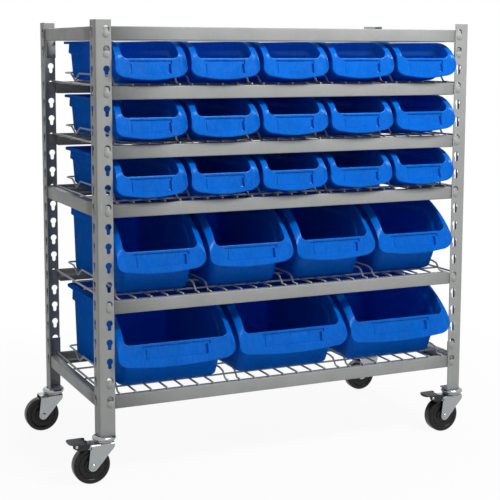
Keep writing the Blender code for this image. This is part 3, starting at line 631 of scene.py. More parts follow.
class CART_OT_posts(bpy.types.Operator):
    """Makes the four corner posts with their keyholes and the raceway under each"""

    bl_idname = "cart.posts"
    bl_label = "Corner posts"

    def execute(self, context):
        sizes = context.scene.cart_sizes
        skin = post_skin(sizes)
        inner, outer = sizes.post_sheet + 0.0001, FLANGE - 1 * MM
        corners = [(inner, inner), (outer, inner), (outer, outer), (inner, outer)]
        outline = rounded(corners, 2 * MM, 5, closed=True)
        for where, (sx, sy) in CORNERS.items():
            node = "post_" + where
            offset = (sx * FRAME_HALF_X, sy * FRAME_HALF_Y, 0)
            mesh = moved(skin, node + "_angle", offset, (-sx, -sy))
            made = piece(node + "_angle", mesh, "frame_grey", "frame", [node])
            thicken(made, sizes.post_sheet, 0.25 * MM)
            race = Surface()
            race.lathe(race_profile(), "Z", swivel_axis(where), 48)
            mesh = race.mesh(node + "_raceway")
            piece(node + "_raceway", mesh, "caster_zinc", "frame")
            # A plate of 2.5 mm closes the post's foot over the raceway
            plate = Surface()
            levels = (FOOT_Z + 0.0002, FOOT_Z + 0.0027)
            plate.tube(np.stack([np.column_stack([outline, np.full(len(outline), z)]) for z in levels]))
            mesh = moved(plate.mesh(node + "_foot"), node + "_foot", offset, (-sx, -sy))
            piece(node + "_foot", mesh, "frame_grey", "frame")
        return {"FINISHED"}


# Beams

# The keyhole, counted from the top, that carries the beams of each level, and the rise of their tops over it
BEAM_KEYS = (1, 4, 7, 10, 15, 20)
BEAM_RISE = 0.005
# The studs: their drop under the beam's top, and the place of their heads' seat in front of the web
STUD_DROP = 0.015
STUD_FACE = -0.0024
# The tabs: their reach past the web's end, and their margin over and under the studs
TAB_REACH = 0.0185
TAB_MARGIN = 0.010


def beam_top(level):
    """Height of the top of the beams of a level."""
    sizes = bpy.context.scene.cart_sizes
    return POST_TOP - sizes.key_drop - (BEAM_KEYS[level - 1] - 1) * sizes.key_pitch + BEAM_RISE


def add_rivet(surface, x, z, sizes):
    """A domed rivet head toward -Y and its stem: height falls with radius as 1 - (r / R)^2.4."""
    share = np.array([0.0, 0.3, 0.55, 0.75, 0.9, 0.97, 1.0])
    head = np.stack([share * sizes.rivet_radius, sizes.rivet_height * (1 - share ** 2.4)], 1)
    profile = np.vstack([head, [(0.0034, 0.0), (0.0032, -0.0034), (0.0, -0.0034)]])
    profile[:, 1] *= -1
    surface.lathe(profile, "Y", (x, STUD_FACE, z), 28)


def beam_mesh(span, sizes, extra):
    """A beam along X whose web faces -Y at y=0 and whose top is z=0: a folded line carried along the span,
    with a flat tab at each end behind the post. Its studs are a mesh of their own: one at each end, and one
    more where extra is 1, a keyhole up, or -1, a keyhole down."""
    clear = span / 2 - FLANGE - 0.0005
    ledge, foot = sizes.beam_ledge, -sizes.beam_height
    line = rounded([(ledge, 0), (0, 0), (0, foot), (ledge, foot)], sizes.beam_bend, 6)
    along = np.linspace(-clear, clear, 7)
    x, index = np.meshgrid(along, np.arange(len(line)))
    surface = Surface()
    surface.grid(np.stack([x, line[index, 0], line[index, 1]], axis=-1))
    studs_z = [-STUD_DROP]
    if extra:
        studs_z.append(-STUD_DROP + extra * sizes.key_pitch)
    low_z = min(foot + 0.001, min(studs_z) - TAB_MARGIN)
    high_z = max(-0.001, max(studs_z) + TAB_MARGIN)
    reach = clear + TAB_REACH
    for side in (-1, 1):
        out = np.linspace(clear - 0.0003, reach, 3) * side
        tab_x, tab_z = np.meshgrid(out, np.linspace(low_z, high_z, 3))
        surface.grid(np.stack([tab_x, np.zeros_like(tab_x), tab_z], axis=-1))
    web = surface.mesh("beam_web", solid=False)
    face_toward(web, (0, -1, 0))
    studs = Surface()
    for side in (-1, 1):
        for z in studs_z:
            add_rivet(studs, side * (span / 2 - sizes.key_column), z, sizes)
    return web, studs.mesh("beam_studs")


class CART_OT_beams(bpy.types.Operator):
    """Makes the front, back and side beams with their studs"""

    bl_idname = "cart.beams"
    bl_label = "Beams"

    def execute(self, context):
        sizes = context.scene.cart_sizes
        # Pairs of beams: their places with quarter turns, their span, and the web's distance from the middle
        across = (("front", 0), ("back", 2)), 2 * FRAME_HALF_X, FRAME_HALF_Y
        along = (("left", 3), ("right", 1)), 2 * FRAME_HALF_Y, FRAME_HALF_X
        for level in range(1, LEVELS + 1):
            # The top beams have a second stud one keyhole down, the bottom beams one keyhole up
            extra = {1: -1, LEVELS: 1}.get(level, 0)
            for pair, span, half in (across, along) if level in SIDE_LEVELS else (across,):
                web, studs = beam_mesh(span, sizes, extra)
                for where, quarter in pair:
                    node = "beam_" + where + "_" + str(level)
                    turn = Matrix.Rotation(quarter * math.pi / 2, 4, "Z")
                    place = turn @ Matrix.Translation((0, sizes.beam_inset - half, beam_top(level)))
                    sheet = web.copy()
                    sheet.transform(place)
                    made = piece(node + "_web", sheet, "frame_grey", "frame", [node])
                    thicken(made, sizes.beam_sheet, 0)
                    heads = studs.copy()
                    heads.transform(place)
                    piece(node + "_studs", heads, "frame_grey", "frame")
        return {"FINISHED"}


# Wire decks

# A row of bins fills this width between the posts, with a gap from rim to rim
BIN_ROW = 2 * FRAME_HALF_X - 0.064
BIN_GAP = 0.0085
# Over the beams' ledges: the height of the long wires' middles; the front and back ends of all long wires
DECK_LIFT = 0.0026
DECK_END = FRAME_HALF_Y - 0.0065
SIDE_WIRE_X = FRAME_HALF_X - 0.023
CROSS_WIRES_Y = (-0.124, -0.042, 0.042, 0.124)
WIRE_STUB = 0.002
GUIDE_RISE = 0.017
# Half a bin's rim is this much wider than half its foot, and a guide wire keeps this clear of the foot
FOOT_INSET = 0.0175
GUIDE_CLEAR = 0.0065


def bin_centres(count):
    """Middle of each bin in a row."""
    return [(i - (count - 1) / 2) * BIN_ROW / count for i in range(count)]


def tip_half(count):
    """Half width over the rim of a bin in a row of count bins."""
    return (BIN_ROW / count - BIN_GAP) / 2


def deck_mesh(count, fill, sizes, name):
    """A wire deck with z=0 on the beams: plain wires from front to back, a bent guide wire on each side of
    each bin's place, four cross wires below and a heavier wire along each side."""
    surface = Surface()
    radius = sizes.wire / 2
    up = DECK_LIFT + GUIDE_RISE
    cross_z = DECK_LIFT - sizes.wire - 0.0003
    reach = SIDE_WIRE_X + sizes.side_wire / 2 + WIRE_STUB
    for y in CROSS_WIRES_Y:
        add_wire(surface, np.column_stack([np.linspace(-reach, reach, 3), [y] * 3, [cross_z] * 3]), radius)
    # The side wires run between the two layers, and their ends rise onto the ledges
    edge_z = 0.0003 + sizes.side_wire / 2
    side_z = (DECK_LIFT + cross_z) / 2
    for side in (-SIDE_WIRE_X, SIDE_WIRE_X):
        near, far = DECK_END - 0.012, DECK_END
        path = [(side, -far, edge_z), (side, -near, side_z), (side, near, side_z), (side, far, edge_z)]
        add_wire(surface, rounded(path, 0.012, 5), sizes.side_wire / 2)
    half = tip_half(count) - FOOT_INSET + GUIDE_CLEAR + radius
    # A guide wire rises behind the front beam, runs level, dips once near the rear and ends raised
    line = [
        (-DECK_END, DECK_LIFT), (-0.1745, DECK_LIFT), (-0.1615, up - 0.0030), (-0.146, up),
        (0.058, up), (0.087, DECK_LIFT + 0.0008), (0.120, up), (0.164, up),
    ]
    for centre in bin_centres(count):
        for i in range(fill):
            x = centre - half + 2 * half * (i + 1) / (fill + 1)
            path = np.column_stack([[x] * 3, np.linspace(-DECK_END, DECK_END, 3), [DECK_LIFT] * 3])
            add_wire(surface, path, radius)
        path = [(centre - half, y, z) for y, z in line] + [(centre + half, y, z) for y, z in reversed(line)]
        add_wire(surface, rounded(path, 0.0075, 6), radius)
    return surface.mesh(name)


class CART_OT_decks(bpy.types.Operator):
    """Makes the five wire decks"""

    bl_idname = "cart.decks"
    bl_label = "Wire decks"

    def execute(self, context):
        sizes = context.scene.cart_sizes
        for number, _, count, fill, *_ in ROWS:
            node = "wire_deck_" + str(number)
            mesh = deck_mesh(count, fill, sizes, node)
            mesh.transform(Matrix.Translation((0, 0, beam_top(number + 1))))
            piece(node + "_wires", mesh, "wire_grey", "frame", [node])
        return {"FINISHED"}


# Bins

# Along Y: the nose of the brim, the lip of the opening, the rear of the rim, and the furthest front of a foot
NOSE = -FRAME_HALF_Y - 0.012
LIP_Y = NOSE + 0.0095
TAIL = FRAME_HALF_Y - 0.033
FRONT_LOW = -FRAME_HALF_Y + 0.025
# How far the front leans back for each metre down
FRONT_LEAN = 0.45
# Radius of the opening's lower corners, and the rim's tuck behind its widest place
MOUTH_CORNER = 0.011
RIM_TUCK = 0.003
# Share of the apron's height from the lip down to the lower corner, and share of the drop below that corner
# by which the bottom edge bows down to its middle
TIP_SHARE = 0.43
BOW = 0.2
# Drop of the body's front edge under the lip, and the wall's inset from half the rim's width
FRONT_DROP = 0.020
WALL_INSET = 0.013
# A step in the apron's face is this wide to each side of its place
STEP_HALF = 0.3 * MM
# Points in each stretch of a half ring
STEPS = {"rear": 5, "rear_corner": 6, "side": 5, "swoop": 16, "corner": 9}
# Rows of the apron's face under the lip; the label place lies between its top and bottom step
FACE_ROWS = np.array([31.3, 30.7, 26.0, 21.0, 16.0, 12.3, 11.7, 8.5, 5.3, 4.7, 2.5]) * MM
LABEL_TOP, LABEL_WAIST, LABEL_BOTTOM = 5.0 * MM, 12.0 * MM, 31.0 * MM
LABEL_DEPTH, SLOT_DEPTH, GROOVE_DEPTH, GROOVE_WIDTH = 2.4 * MM, 3.2 * MM, 1.4 * MM, 1.6 * MM


class BinForm:
    """Half rings of one kind of bin from the middle of its rear over its side to the middle of its front.

    All rings share their counts: the rear edge, its corner, the level side, the swoop, the front corner and
    the front edge, so that a row between two rings is a straight mix of them.
    """

    def __init__(self, height, count, swoop, lip_drop, apron, shoulder, label, tab, slot, flare, sizes):
        self.sizes = sizes
        self.height = height
        # Where the level side of the mouth and of the brim ends and its swoop starts
        self.mouth_turn = NOSE + swoop[0]
        self.brim_turn = NOSE + swoop[1]
        self.rise_power, self.back_power = swoop[2:]
        self.tip_half = tip_half(count)
        self.lip = height - lip_drop
        self.apron = apron
        # Lowest place of the brim, and the place where its swoop ends and its lower corner starts
        self.bow = self.lip - apron
        self.tip = self.lip - TIP_SHARE * apron
        self.shoulder = height - shoulder
        # Half widths of the label place's upper and lower part
        self.label = label
        self.narrow = label - tab
        self.slot = slot
        self.flare = flare
        self.front_z = self.lip - FRONT_DROP
        self.wall = self.tip_half - WALL_INSET
        self.inner = self.wall - sizes.bin_wall
        self.corner_out = self.tip_half - self.inner + MOUTH_CORNER
        self.front_x = self.inner - MOUTH_CORNER
        # A step in the face has a column on each side of it
        steps = np.array([self.narrow - slot, self.narrow - GROOVE_WIDTH, self.narrow, label])
        columns = np.sort(np.concatenate([steps - STEP_HALF, steps + STEP_HALF]))
        inside = np.concatenate([np.linspace(0, columns[0], 5)[:-1], columns])
        outside = np.linspace(columns[-1], self.front_x, 5)[1:-1]
        self.front = np.concatenate([inside, outside])[::-1] / self.front_x
        self.parts = [np.arange(number) / number for number in STEPS.values()]
        rear, turn, side, self.sweep, corner = self.parts
        # Places in a half ring: along the swoop, round the front corner, and along the front edge
        start = len(rear) + len(turn) + len(side)
        mid = start + len(self.sweep)
        end = mid + len(corner) + 1
        self.in_swoop, self.in_corner, self.in_front = slice(start, mid), slice(mid, end), slice(end, None)
        self.arc = np.append(corner, 1.0) * np.pi / 2
        level = np.zeros(start)
        front = np.ones(1 + len(self.front))
        # Shares that run from 0 on the level part to 1 on the front: over the whole swoop, over its last
        # quarter, and over the lower corner
        self.along = np.concatenate([level, self.sweep, np.ones(len(corner)), front])
        last_quarter = np.clip(self.sweep * 4 - 3, 0, 1)
        self.forward = np.concatenate([level, last_quarter, np.ones(len(corner)), front])
        self.on_front = np.concatenate([level, np.zeros(len(self.sweep)), corner, front])

    def level(self, width, rear_y, front_y, rear_radius, front_radius, z):
        """A rounded rectangle of a half width, from a rear to a front place along Y, at a height that may
        change along it."""
        rear, turn, side, swoop, corner = self.parts
        rear_x, front_x = width - rear_radius, width - front_radius
        angle = turn * np.pi / 2
        arc = corner * np.pi / 2
        x = np.concatenate([
            rear * rear_x, rear_x + rear_radius * np.sin(angle), np.full(len(side) + len(swoop), width),
            front_x + front_radius * np.cos(arc), [front_x], front_x * self.front,
        ])
        rear_end, side_end = rear_y - rear_radius, front_y + front_radius
        y = np.concatenate([
            np.full(len(rear), rear_y), rear_end + rear_radius * np.cos(angle),
            rear_end + (self.mouth_turn - rear_end) * side,
            self.mouth_turn + (side_end - self.mouth_turn) * swoop,
            side_end - front_radius * np.sin(arc), np.full(1 + len(self.front), front_y),
        ])
        return np.stack([x, y, np.broadcast_to(z, x.shape)], axis=-1)

    def drawn_back(self, share):
        """How far the swoop runs back at a share z of its rise: 1 - (1 - z^a)^(1/b), an ellipse for a=b=2."""
        return 1 - np.maximum(1 - share ** self.rise_power, 0) ** (1 / self.back_power)

    def mouth(self):
        """The edge of the opening: level at rear and side, the swoop, a round corner and the straight lip."""
        ring = self.level(self.inner, TAIL - 0.0125, LIP_Y, 0.014, MOUTH_CORNER, self.height)
        rise, reach = self.height - self.lip, self.mouth_turn - LIP_Y
        share = np.cos(self.sweep * math.acos(MOUTH_CORNER / rise))
        ring[self.in_swoop, 1] = LIP_Y + reach * self.drawn_back(share)
        ring[self.in_swoop, 2] = self.lip + rise * share
        low_rise = MOUTH_CORNER * (1 - np.sin(self.arc))
        ring[self.in_corner, 0] = self.inner - MOUTH_CORNER * (1 - np.cos(self.arc))
        ring[self.in_corner, 1] = LIP_Y + reach * self.drawn_back(low_rise / rise)
        ring[self.in_corner, 2] = self.lip + low_rise
        ring[self.in_front, 0] = self.front_x * self.front
        ring[self.in_front, 2] = self.lip
        return ring

    def brim(self):
        """The outer edge of the rim: level, then a deeper swoop, a lower corner and the bottom edge, which
        bows down to its middle by a share of the drop times 1 - (x / end)^2."""
        level_half = self.tip_half - RIM_TUCK
        ring = self.level(level_half, TAIL, NOSE, 0.018, self.corner_out, self.height)
        share = np.cos(self.sweep * np.pi / 2)
        ring[self.in_swoop, 0] = level_half + RIM_TUCK * (1 - share)
        ring[self.in_swoop, 1] = NOSE + (self.brim_turn - NOSE) * self.drawn_back(share)
        ring[self.in_swoop, 2] = self.tip + (self.height - self.tip) * share
        drop = self.tip - self.bow
        ring[self.in_corner, 0] = self.front_x + self.corner_out * np.cos(self.arc)
        ring[self.in_corner, 1] = NOSE
        ring[self.in_corner, 2] = self.bow + drop * (BOW + (1 - BOW) * (1 - np.sin(self.arc)))
        ring[self.in_front, 0] = self.front_x * self.front
        ring[self.in_front, 1] = NOSE
        ring[self.in_front, 2] = self.bow + BOW * drop * self.front ** 2
        return ring

    def rim_rows(self):
        """Rows of the rim from the wall's root under it, round its turned edge and over its face to the
        mouth. A row lies at a distance down the rim and a height along its normal, ring's run x rim's run."""
        mouth, brim = self.mouth(), self.brim()
        across = brim - mouth
        wide = np.linalg.norm(across, axis=1)
        run = np.gradient((mouth + brim) / 2, axis=0)
        run[0] = (1, 0, 0)
        run[-1] = (-1, 0, 0)
        normal = unit(np.cross(run, across))
        sheet, turn = self.sizes.rim_sheet, self.sizes.rim_turn
        root = 0.0035 + 0.0030 * self.forward

        def down(distance, lift):
            """A row at a distance from the mouth on the front, and at the like share of the rim elsewhere."""
            share = distance / self.apron * (1 - self.on_front) + distance / wide * self.on_front
            return mouth + across * share[:, None] + normal * lift

        def near_brim(inset, lift):
            """A row at an even distance from the brim all round."""
            return brim - across * (inset / wide)[:, None] + normal * lift

        half_way = root / wide * 0.5 + 0.5 * (1 - (sheet + 0.001) / wide)
        under = [
            mouth + across * (root / wide)[:, None] - normal * sheet,
            mouth + across * half_way[:, None] - normal * sheet,
            near_brim(sheet + 0.0010, -sheet), near_brim(sheet + 0.0002, -sheet - 0.0008),
            near_brim(sheet, -turn + 0.0005), near_brim(sheet - 0.0005, -turn),
        ]
        # The edge's last row lies 2.5 mm from the brim on the front, and at one share of the rim elsewhere
        last = (1 - 0.0025 / self.apron) * (1 - self.on_front) + (1 - 0.0025 / wide) * self.on_front
        edge = [near_brim(0.0004, -turn), near_brim(0.0, -turn + 0.0005), near_brim(0.0, -0.0016),
                near_brim(0.0003, -0.0006), near_brim(0.0010, -0.0001), mouth + across * last[:, None]]
        face = [down(distance, 0) for distance in FACE_ROWS]
        lip = [down(0.0012, -0.00005), down(0.0004, -0.0004), down(0.0, -0.0012)]
        return under, edge, face, lip

    def carve_label(self, face, under):
        """Sinks the label place into the apron: wide under the lip, narrower below, with a deep slot at the
        right end of its lower part and a groove at the left, and moves the apron's back away from it."""
        middle = (face[0][:, 1] < NOSE + 12 * MM) & (np.abs(face[0][:, 0]) < self.front_x - 1 * MM)
        for row, distance in zip(face, FACE_ROWS):
            low_part = LABEL_WAIST < distance < LABEL_BOTTOM
            high_part = LABEL_TOP < distance < LABEL_WAIST
            if not (low_part or high_part):
                continue
            across = row[:, 0].copy()
            if low_part:
                share = (distance - LABEL_WAIST) / (LABEL_BOTTOM - LABEL_WAIST)
                slot_side = middle & (np.abs(across - self.narrow + self.slot) < 0.5 * MM)
                row[slot_side, 0] -= self.flare * share
                slot = middle & (across > self.narrow - self.slot) & (across < self.narrow)
                row[slot, 1] += SLOT_DEPTH
                groove = middle & (across > -self.narrow) & (across < GROOVE_WIDTH - self.narrow)
                row[groove, 1] += GROOVE_DEPTH
            half = self.narrow if low_part else self.label
            row[middle & (np.abs(across) < half), 1] += LABEL_DEPTH
        under[1][middle & (np.abs(under[1][:, 0]) < self.label), 1] += LABEL_DEPTH + SLOT_DEPTH

    def body(self, inset, floor_z):
        """Rows of the body from its floor up to the shoulder and under the rim, moved inward by an inset."""
        low_half = self.tip_half - 0.0155 - inset
        draft = 0.0025
        tail = TAIL - 0.0145 - inset
        foot = 0.012
        shoulder_y = LIP_Y + 0.0115 + inset
        # The front leans back toward the floor, and its bottom edge is rounder than the others
        toe = max(shoulder_y + FRONT_LEAN * (self.front_z - foot), FRONT_LOW + inset)
        rows = []
        for angle in np.linspace(0, np.pi / 2, 6):
            tuck = foot * (1 - math.sin(angle))
            rows.append(self.level(low_half - draft - tuck, tail - draft - tuck, toe + 1.7 * tuck,
                                   0.016 - 0.5 * tuck, 0.019 - 0.6 * tuck - inset,
                                   floor_z + foot * (1 - math.cos(angle))))
        foot_top = rows[-1]
        shoulder_z = self.front_z + (self.shoulder - self.front_z) * np.cos(np.pi / 2 * self.along)
        lower = self.level(low_half, tail, shoulder_y, 0.015, 0.020 - inset, shoulder_z - 0.0012)
        for share in (0.33, 0.67, 0.97):
            rows.append(foot_top * (1 - share) + lower * share)
        upper = self.level(low_half, tail, shoulder_y, 0.015, 0.020 - inset, shoulder_z)
        wide = self.level(low_half + 0.0045, tail + 0.0045, shoulder_y, 0.015, 0.020 - inset, shoulder_z)
        spread = (wide - upper) * (1 - self.forward)[:, None]
        # Outside, the shoulder steps out over 5 mm; inside, it is a softer slope three times as tall
        rise = np.outer(1 - self.forward, (0.0, 0.0, 1.0 if inset == 0 else 3.0))
        for out, lift in ((0.0, -0.0012), (0.12, 0.0), (0.5, 0.0012), (0.88, 0.0024), (1.0, 0.0036)):
            rows.append(upper + spread * out + rise * lift)
        return rows

    def mesh(self, name):
        """The closed skin of the bin: outside, rim and inside, mirrored about its middle, floors closed."""
        def whole(rows):
            """Rows of half rings made rows of full rings."""
            half = np.stack(rows)
            return np.concatenate([half, half[:, -2:0:-1] * np.array([-1.0, 1.0, 1.0])], axis=1)

        under, edge, face, lip = (whole(rows) for rows in self.rim_rows())
        self.carve_label(face, under)
        outer = whole(self.body(0.0, 0.0))
        inner = whole(self.body(self.sizes.bin_wall, self.sizes.bin_wall)[::-1])
        surface = Surface()
        surface.tube(np.concatenate([outer, under, edge, face, lip, inner]))
        return surface.mesh(name, smooth=32.0)


class CART_OT_bins(bpy.types.Operator):
    """Makes the hopper bins of every row"""

    bl_idname = "cart.bins"
    bl_label = "Hopper bins"

    def execute(self, context):
        sizes = context.scene.cart_sizes
        for _, label, count, _, *front in ROWS:
            first = "bin_" + label + "_1"
            base = float(low(first)[2])
            height = float(high(first)[2]) - base
            form = BinForm(height, count, *front, sizes)
            mesh = form.mesh("bin_" + label)
            for i, x in enumerate(bin_centres(count)):
                node = "bin_" + label + "_" + str(i + 1)
                copy = moved(mesh, node + "_shell", (x, 0, base))
                piece(node + "_shell", copy, "bin_blue", node, [node])
        return {"FINISHED"}


# Casters

WHEEL_R = 0.0375
# Behind the swivel axis: the axle and the pedal's pin
TRAIL = 0.028
PIN_BACK = 0.062
# Over the floor: the pin, the crown of the fork and the top of its swivel ring
PIN_Z = 0.0825
CROWN_TOP = 0.082
RING_TOP = 0.0871
# The fork's sheet: outer half width, thickness, and its crown's reach in front of and behind the swivel axis
FORK_OUT = 0.018
FORK_SHEET = 0.0025
CROWN_FRONT = 0.017
CROWN_REAR = -0.033


def fork_sheet():
    """The pressed fork about its swivel axis: a sheet folded over both sides of the wheel. Down each leg the
    front edge runs aslant, and the rear edge nearly upright, to a round end about the axle: the slanting edge
    is the tangent from the crown's corner to the circle of the end."""
    end_r = 0.0095
    bend = 0.0055
    corner = np.array([CROWN_FRONT, CROWN_TOP - 0.010])
    away = corner - (-TRAIL, WHEEL_R)
    touch = math.atan2(away[1], away[0]) - math.acos(end_r / np.linalg.norm(away))
    angle = np.radians(np.array([0, 15, 30, 45, 62, 78, 95]))
    low_z = WHEEL_R - end_r * np.cos(angle)
    low_rear = -TRAIL - end_r * np.sin(angle)
    high_z = np.linspace(low_z[-1], CROWN_TOP - bend, 14)[1:]
    share = (high_z - low_z[-1]) / (high_z[-1] - low_z[-1])
    rear = np.concatenate([low_rear, low_rear[-1] + (CROWN_REAR - low_rear[-1]) * share])
    height = np.concatenate([low_z, high_z])
    touch_x, touch_z = -TRAIL + end_r * math.cos(touch), WHEEL_R + end_r * math.sin(touch)
    slant = np.clip((height - touch_z) / (corner[1] - touch_z), 0, 1)
    circle = -TRAIL + np.sqrt(np.maximum(end_r ** 2 - (height - WHEEL_R) ** 2, 0))
    front = np.where(height < touch_z, circle, touch_x + (corner[0] - touch_x) * slant)
    turn = np.linspace(0, np.pi / 2, 7)[1:]
    bend_y = -FORK_OUT + bend * (1 - np.cos(turn))
    bend_z = CROWN_TOP - bend + bend * np.sin(turn)
    y = np.concatenate([np.full(len(height), -FORK_OUT), bend_y])
    z = np.concatenate([height, bend_z])
    rear = np.concatenate([rear, np.full(len(turn), CROWN_REAR)])
    front = np.concatenate([front, np.full(len(turn), CROWN_FRONT)])
    path = np.column_stack([np.append(y, -y[::-1]), np.append(z, z[::-1])])
    sheet = folded_sheet(path, np.append(rear, rear[::-1]), np.append(front, front[::-1]), 26)
    # In front of a pressed groove the leg stands a little nearer to the wheel
    step = np.clip((sheet[..., 0] + 0.0135) / 0.0045, 0, 1) * np.clip((sheet[..., 2] - 0.044) / 0.012, 0, 1)
    step *= np.clip((CROWN_TOP - 0.002 - sheet[..., 2]) / 0.006, 0, 1)
    sheet[..., 1] -= np.sign(sheet[..., 1]) * 0.0016 * step
    return sheet


def crown_profile():
    """Half section of the swivel ring on the crown: a cup with a rolled edge."""
    top = RING_TOP
    return [
        (0.0, top), (0.016, top), (0.0205, top - 0.4 * MM), (0.0215, top - 1.4 * MM),
        (0.0215, top - 3.2 * MM), (0.0195, top - 4.4 * MM), (0.0185, CROWN_TOP - 0.6 * MM),
        (0.0, CROWN_TOP - 0.6 * MM),
    ]


def bolt_profile(radius, thick, reach):
    """Half section of a bolt through the fork with a domed head at each end, from one end to the other."""
    dome = [(0.0, 1.0), (0.45, 0.93), (0.75, 0.72), (0.93, 0.4), (1.0, 0.12), (1.0, 0.0)]
    near = [(r * radius, reach + h * thick) for r, h in dome]
    far = [(r, -h) for r, h in reversed(near)]
    return near + [(radius * 0.62, reach - 0.1 * MM), (radius * 0.62, -reach + 0.1 * MM)] + far


def eye_arm(side):
    """The arm from the crown's rear to the pedal's pin: a flat strip that narrows to a round eye."""
    eye, start, root_top, root_bottom = 0.003, 0.031, CROWN_TOP - 0.0005, 0.0725
    t = np.linspace(0, 1, 8)
    x = -start - (PIN_BACK - start) * t
    top = root_top + (PIN_Z + eye - root_top) * t
    bottom = root_bottom + (PIN_Z - eye - root_bottom) * t
    turn = np.linspace(0, np.pi, 9)[1:-1]
    x = np.concatenate([x, -PIN_BACK - eye * np.sin(turn / 2)])
    top = np.concatenate([top, PIN_Z + eye * np.cos(turn / 2)])
    bottom = np.concatenate([bottom, PIN_Z - eye * np.cos(turn / 2)])
    near, far = side * (FORK_OUT - 0.0024), side * FORK_OUT
    corners = [(top, near), (top, far), (bottom, far), (bottom, near)]
    return np.stack([np.stack([x, np.full_like(x, y), z], axis=-1) for z, y in corners], axis=1)


class CART_OT_casters(bpy.types.Operator):
    """Makes the swivel forks with their crowns, axle bolts and pedal pins"""

    bl_idname = "cart.casters"
    bl_label = "Caster forks"

    def execute(self, context):
        for where in CORNERS:
            node = "caster_fork_" + where
            centre = swivel_axis(where)
            surface = Surface()
            surface.grid(fork_sheet() + centre)
            mesh = surface.mesh(node + "_sheet", solid=False)
            under_crown = centre + (-0.012, 0, 0.050)
            outward_from(mesh, under_crown)
            made = piece(node + "_sheet", mesh, "caster_zinc", "caster_" + where, [node])
            thicken(made, FORK_SHEET, 0.3 * MM)
            fittings = Surface()
            fittings.lathe(crown_profile(), "Z", centre, 48)
            axle = centre + (-TRAIL, 0, WHEEL_R)
            fittings.lathe(bolt_profile(0.006, 0.0035, FORK_OUT), "Y", axle, 24)
            if where.startswith("front"):
                pin = centre + (-PIN_BACK, 0, PIN_Z)
                fittings.lathe(bolt_profile(0.0034, 0.0023, 0.0206), "Y", pin, 20)
                for side in (-1, 1):
                    fittings.tube(eye_arm(side) + centre)
            mesh = fittings.mesh(node + "_fittings")
            piece(node + "_fittings", mesh, "caster_zinc", "caster_" + where)
        return {"FINISHED"}


def wheel_profile(groove):
    """Half section of a wheel from bore to bore: a raised hub, a dished face, a groove and a round tread."""
    half, hub, round_r = 12 * MM, 15 * MM, 5 * MM
    face = [
        (0.0044, hub - 0.4 * MM), (0.0050, hub), (0.0095, hub), (0.0102, hub - 0.6 * MM),
        (0.0108, half - 1.0 * MM), (0.0125, half - 2.0 * MM), (0.0150, half - 2.2 * MM),
        (0.0162, half - 1.2 * MM), (groove - 0.0020, half - 0.7 * MM), (groove - 0.0008, half - 1.1 * MM),
        (groove, half - 1.9 * MM), (groove + 0.0008, half - 1.1 * MM), (groove + 0.0020, half - 0.1 * MM),
        (groove + 0.0035, half),
    ]
    turn = np.linspace(0, np.pi / 2, 7)
    radius, height = WHEEL_R - round_r + round_r * np.sin(turn), half - round_r + round_r * np.cos(turn)
    front = face + list(zip(radius.tolist(), height.tolist()))
    return front + [(r, -h) for r, h in reversed(front)]


class CART_OT_wheels(bpy.types.Operator):
    """Makes the four wheels"""

    bl_idname = "cart.wheels"
    bl_label = "Wheels"

    def execute(self, context):
        groove = context.scene.cart_sizes.wheel_groove
        for where in CORNERS:
            node = "wheel_" + where
            centre = (low(node) + high(node)) / 2
            surface = Surface()
            surface.lathe(wheel_profile(groove), "Y", centre, 72, closed=True)
            piece(node + "_tyre", surface.mesh(node + "_tyre"), "wheel_black", node, [node])
        return {"FINISHED"}


def pedal_sheet():
    """The pedal about its pin: a tread that narrows to its tip, folded down at both sides into ears. Down an
    ear, the front and rear edge run straight between a few given points."""
    wide, top = 0.0203, 0.0055
    heel, tip, ear_x = 0.0185, -0.0135, -0.0075
    ear_z = np.array([-0.0090, -0.0080, -0.0062, -0.0040, -0.0020, 0.0005, 0.0030])
    ear_rear = np.interp(ear_z, [-0.009, -0.006, -0.002, 0.003], [0.009, -0.001, -0.007, ear_x])
    ear_front = np.interp(ear_z, [-0.009, -0.006, 0.003], [0.017, 0.0265, 0.0275])
    turn = np.linspace(0, np.pi / 2, 6)[1:]
    bend = 0.0025
    bend_y = -wide + bend * (1 - np.cos(turn))
    bend_z = top - bend + bend * np.sin(turn)
    tread_y = np.array([-0.0155, -0.0130, -0.0065, 0.0])
    y = np.concatenate([np.full(len(ear_z), -wide), bend_y, tread_y])
    z = np.concatenate([ear_z, bend_z, np.full(len(tread_y), top)])
    tip_half_width = 0.0125
    spread = np.clip((-y[len(ear_z):] - tip_half_width) / (wide - tip_half_width), 0, 1)
    rear = np.concatenate([ear_rear, tip + (ear_x - tip) * spread ** 0.8])
    bend_front = [0.0265, 0.025, 0.0225, 0.0205, 0.0195]
    front = np.concatenate([ear_front, bend_front, np.full(len(tread_y), heel)])
    path = np.column_stack([np.append(y, -y[-2::-1]), np.append(z, z[-2::-1])])
    return folded_sheet(path, np.append(rear, rear[-2::-1]), np.append(front, front[-2::-1]), 14)


class CART_OT_pedals(bpy.types.Operator):
    """Makes the brake pedals of the front casters"""

    bl_idname = "cart.pedals"
    bl_label = "Brake pedals"

    def execute(self, context):
        for where in ("front_left", "front_right"):
            node = "brake_pedal_" + where
            centre = swivel_axis(where) + (-PIN_BACK, 0, PIN_Z)
            surface = Surface()
            surface.grid(pedal_sheet() + centre)
            mesh = surface.mesh(node + "_sheet", solid=False)
            under_tread = centre + (0.003, 0, -0.010)
            outward_from(mesh, under_tread)
            made = piece(node + "_sheet", mesh, "pedal_black", "pedal_" + where, [node])
            thicken(made, 0.0020, 0.3 * MM)
        return {"FINISHED"}


# Stage

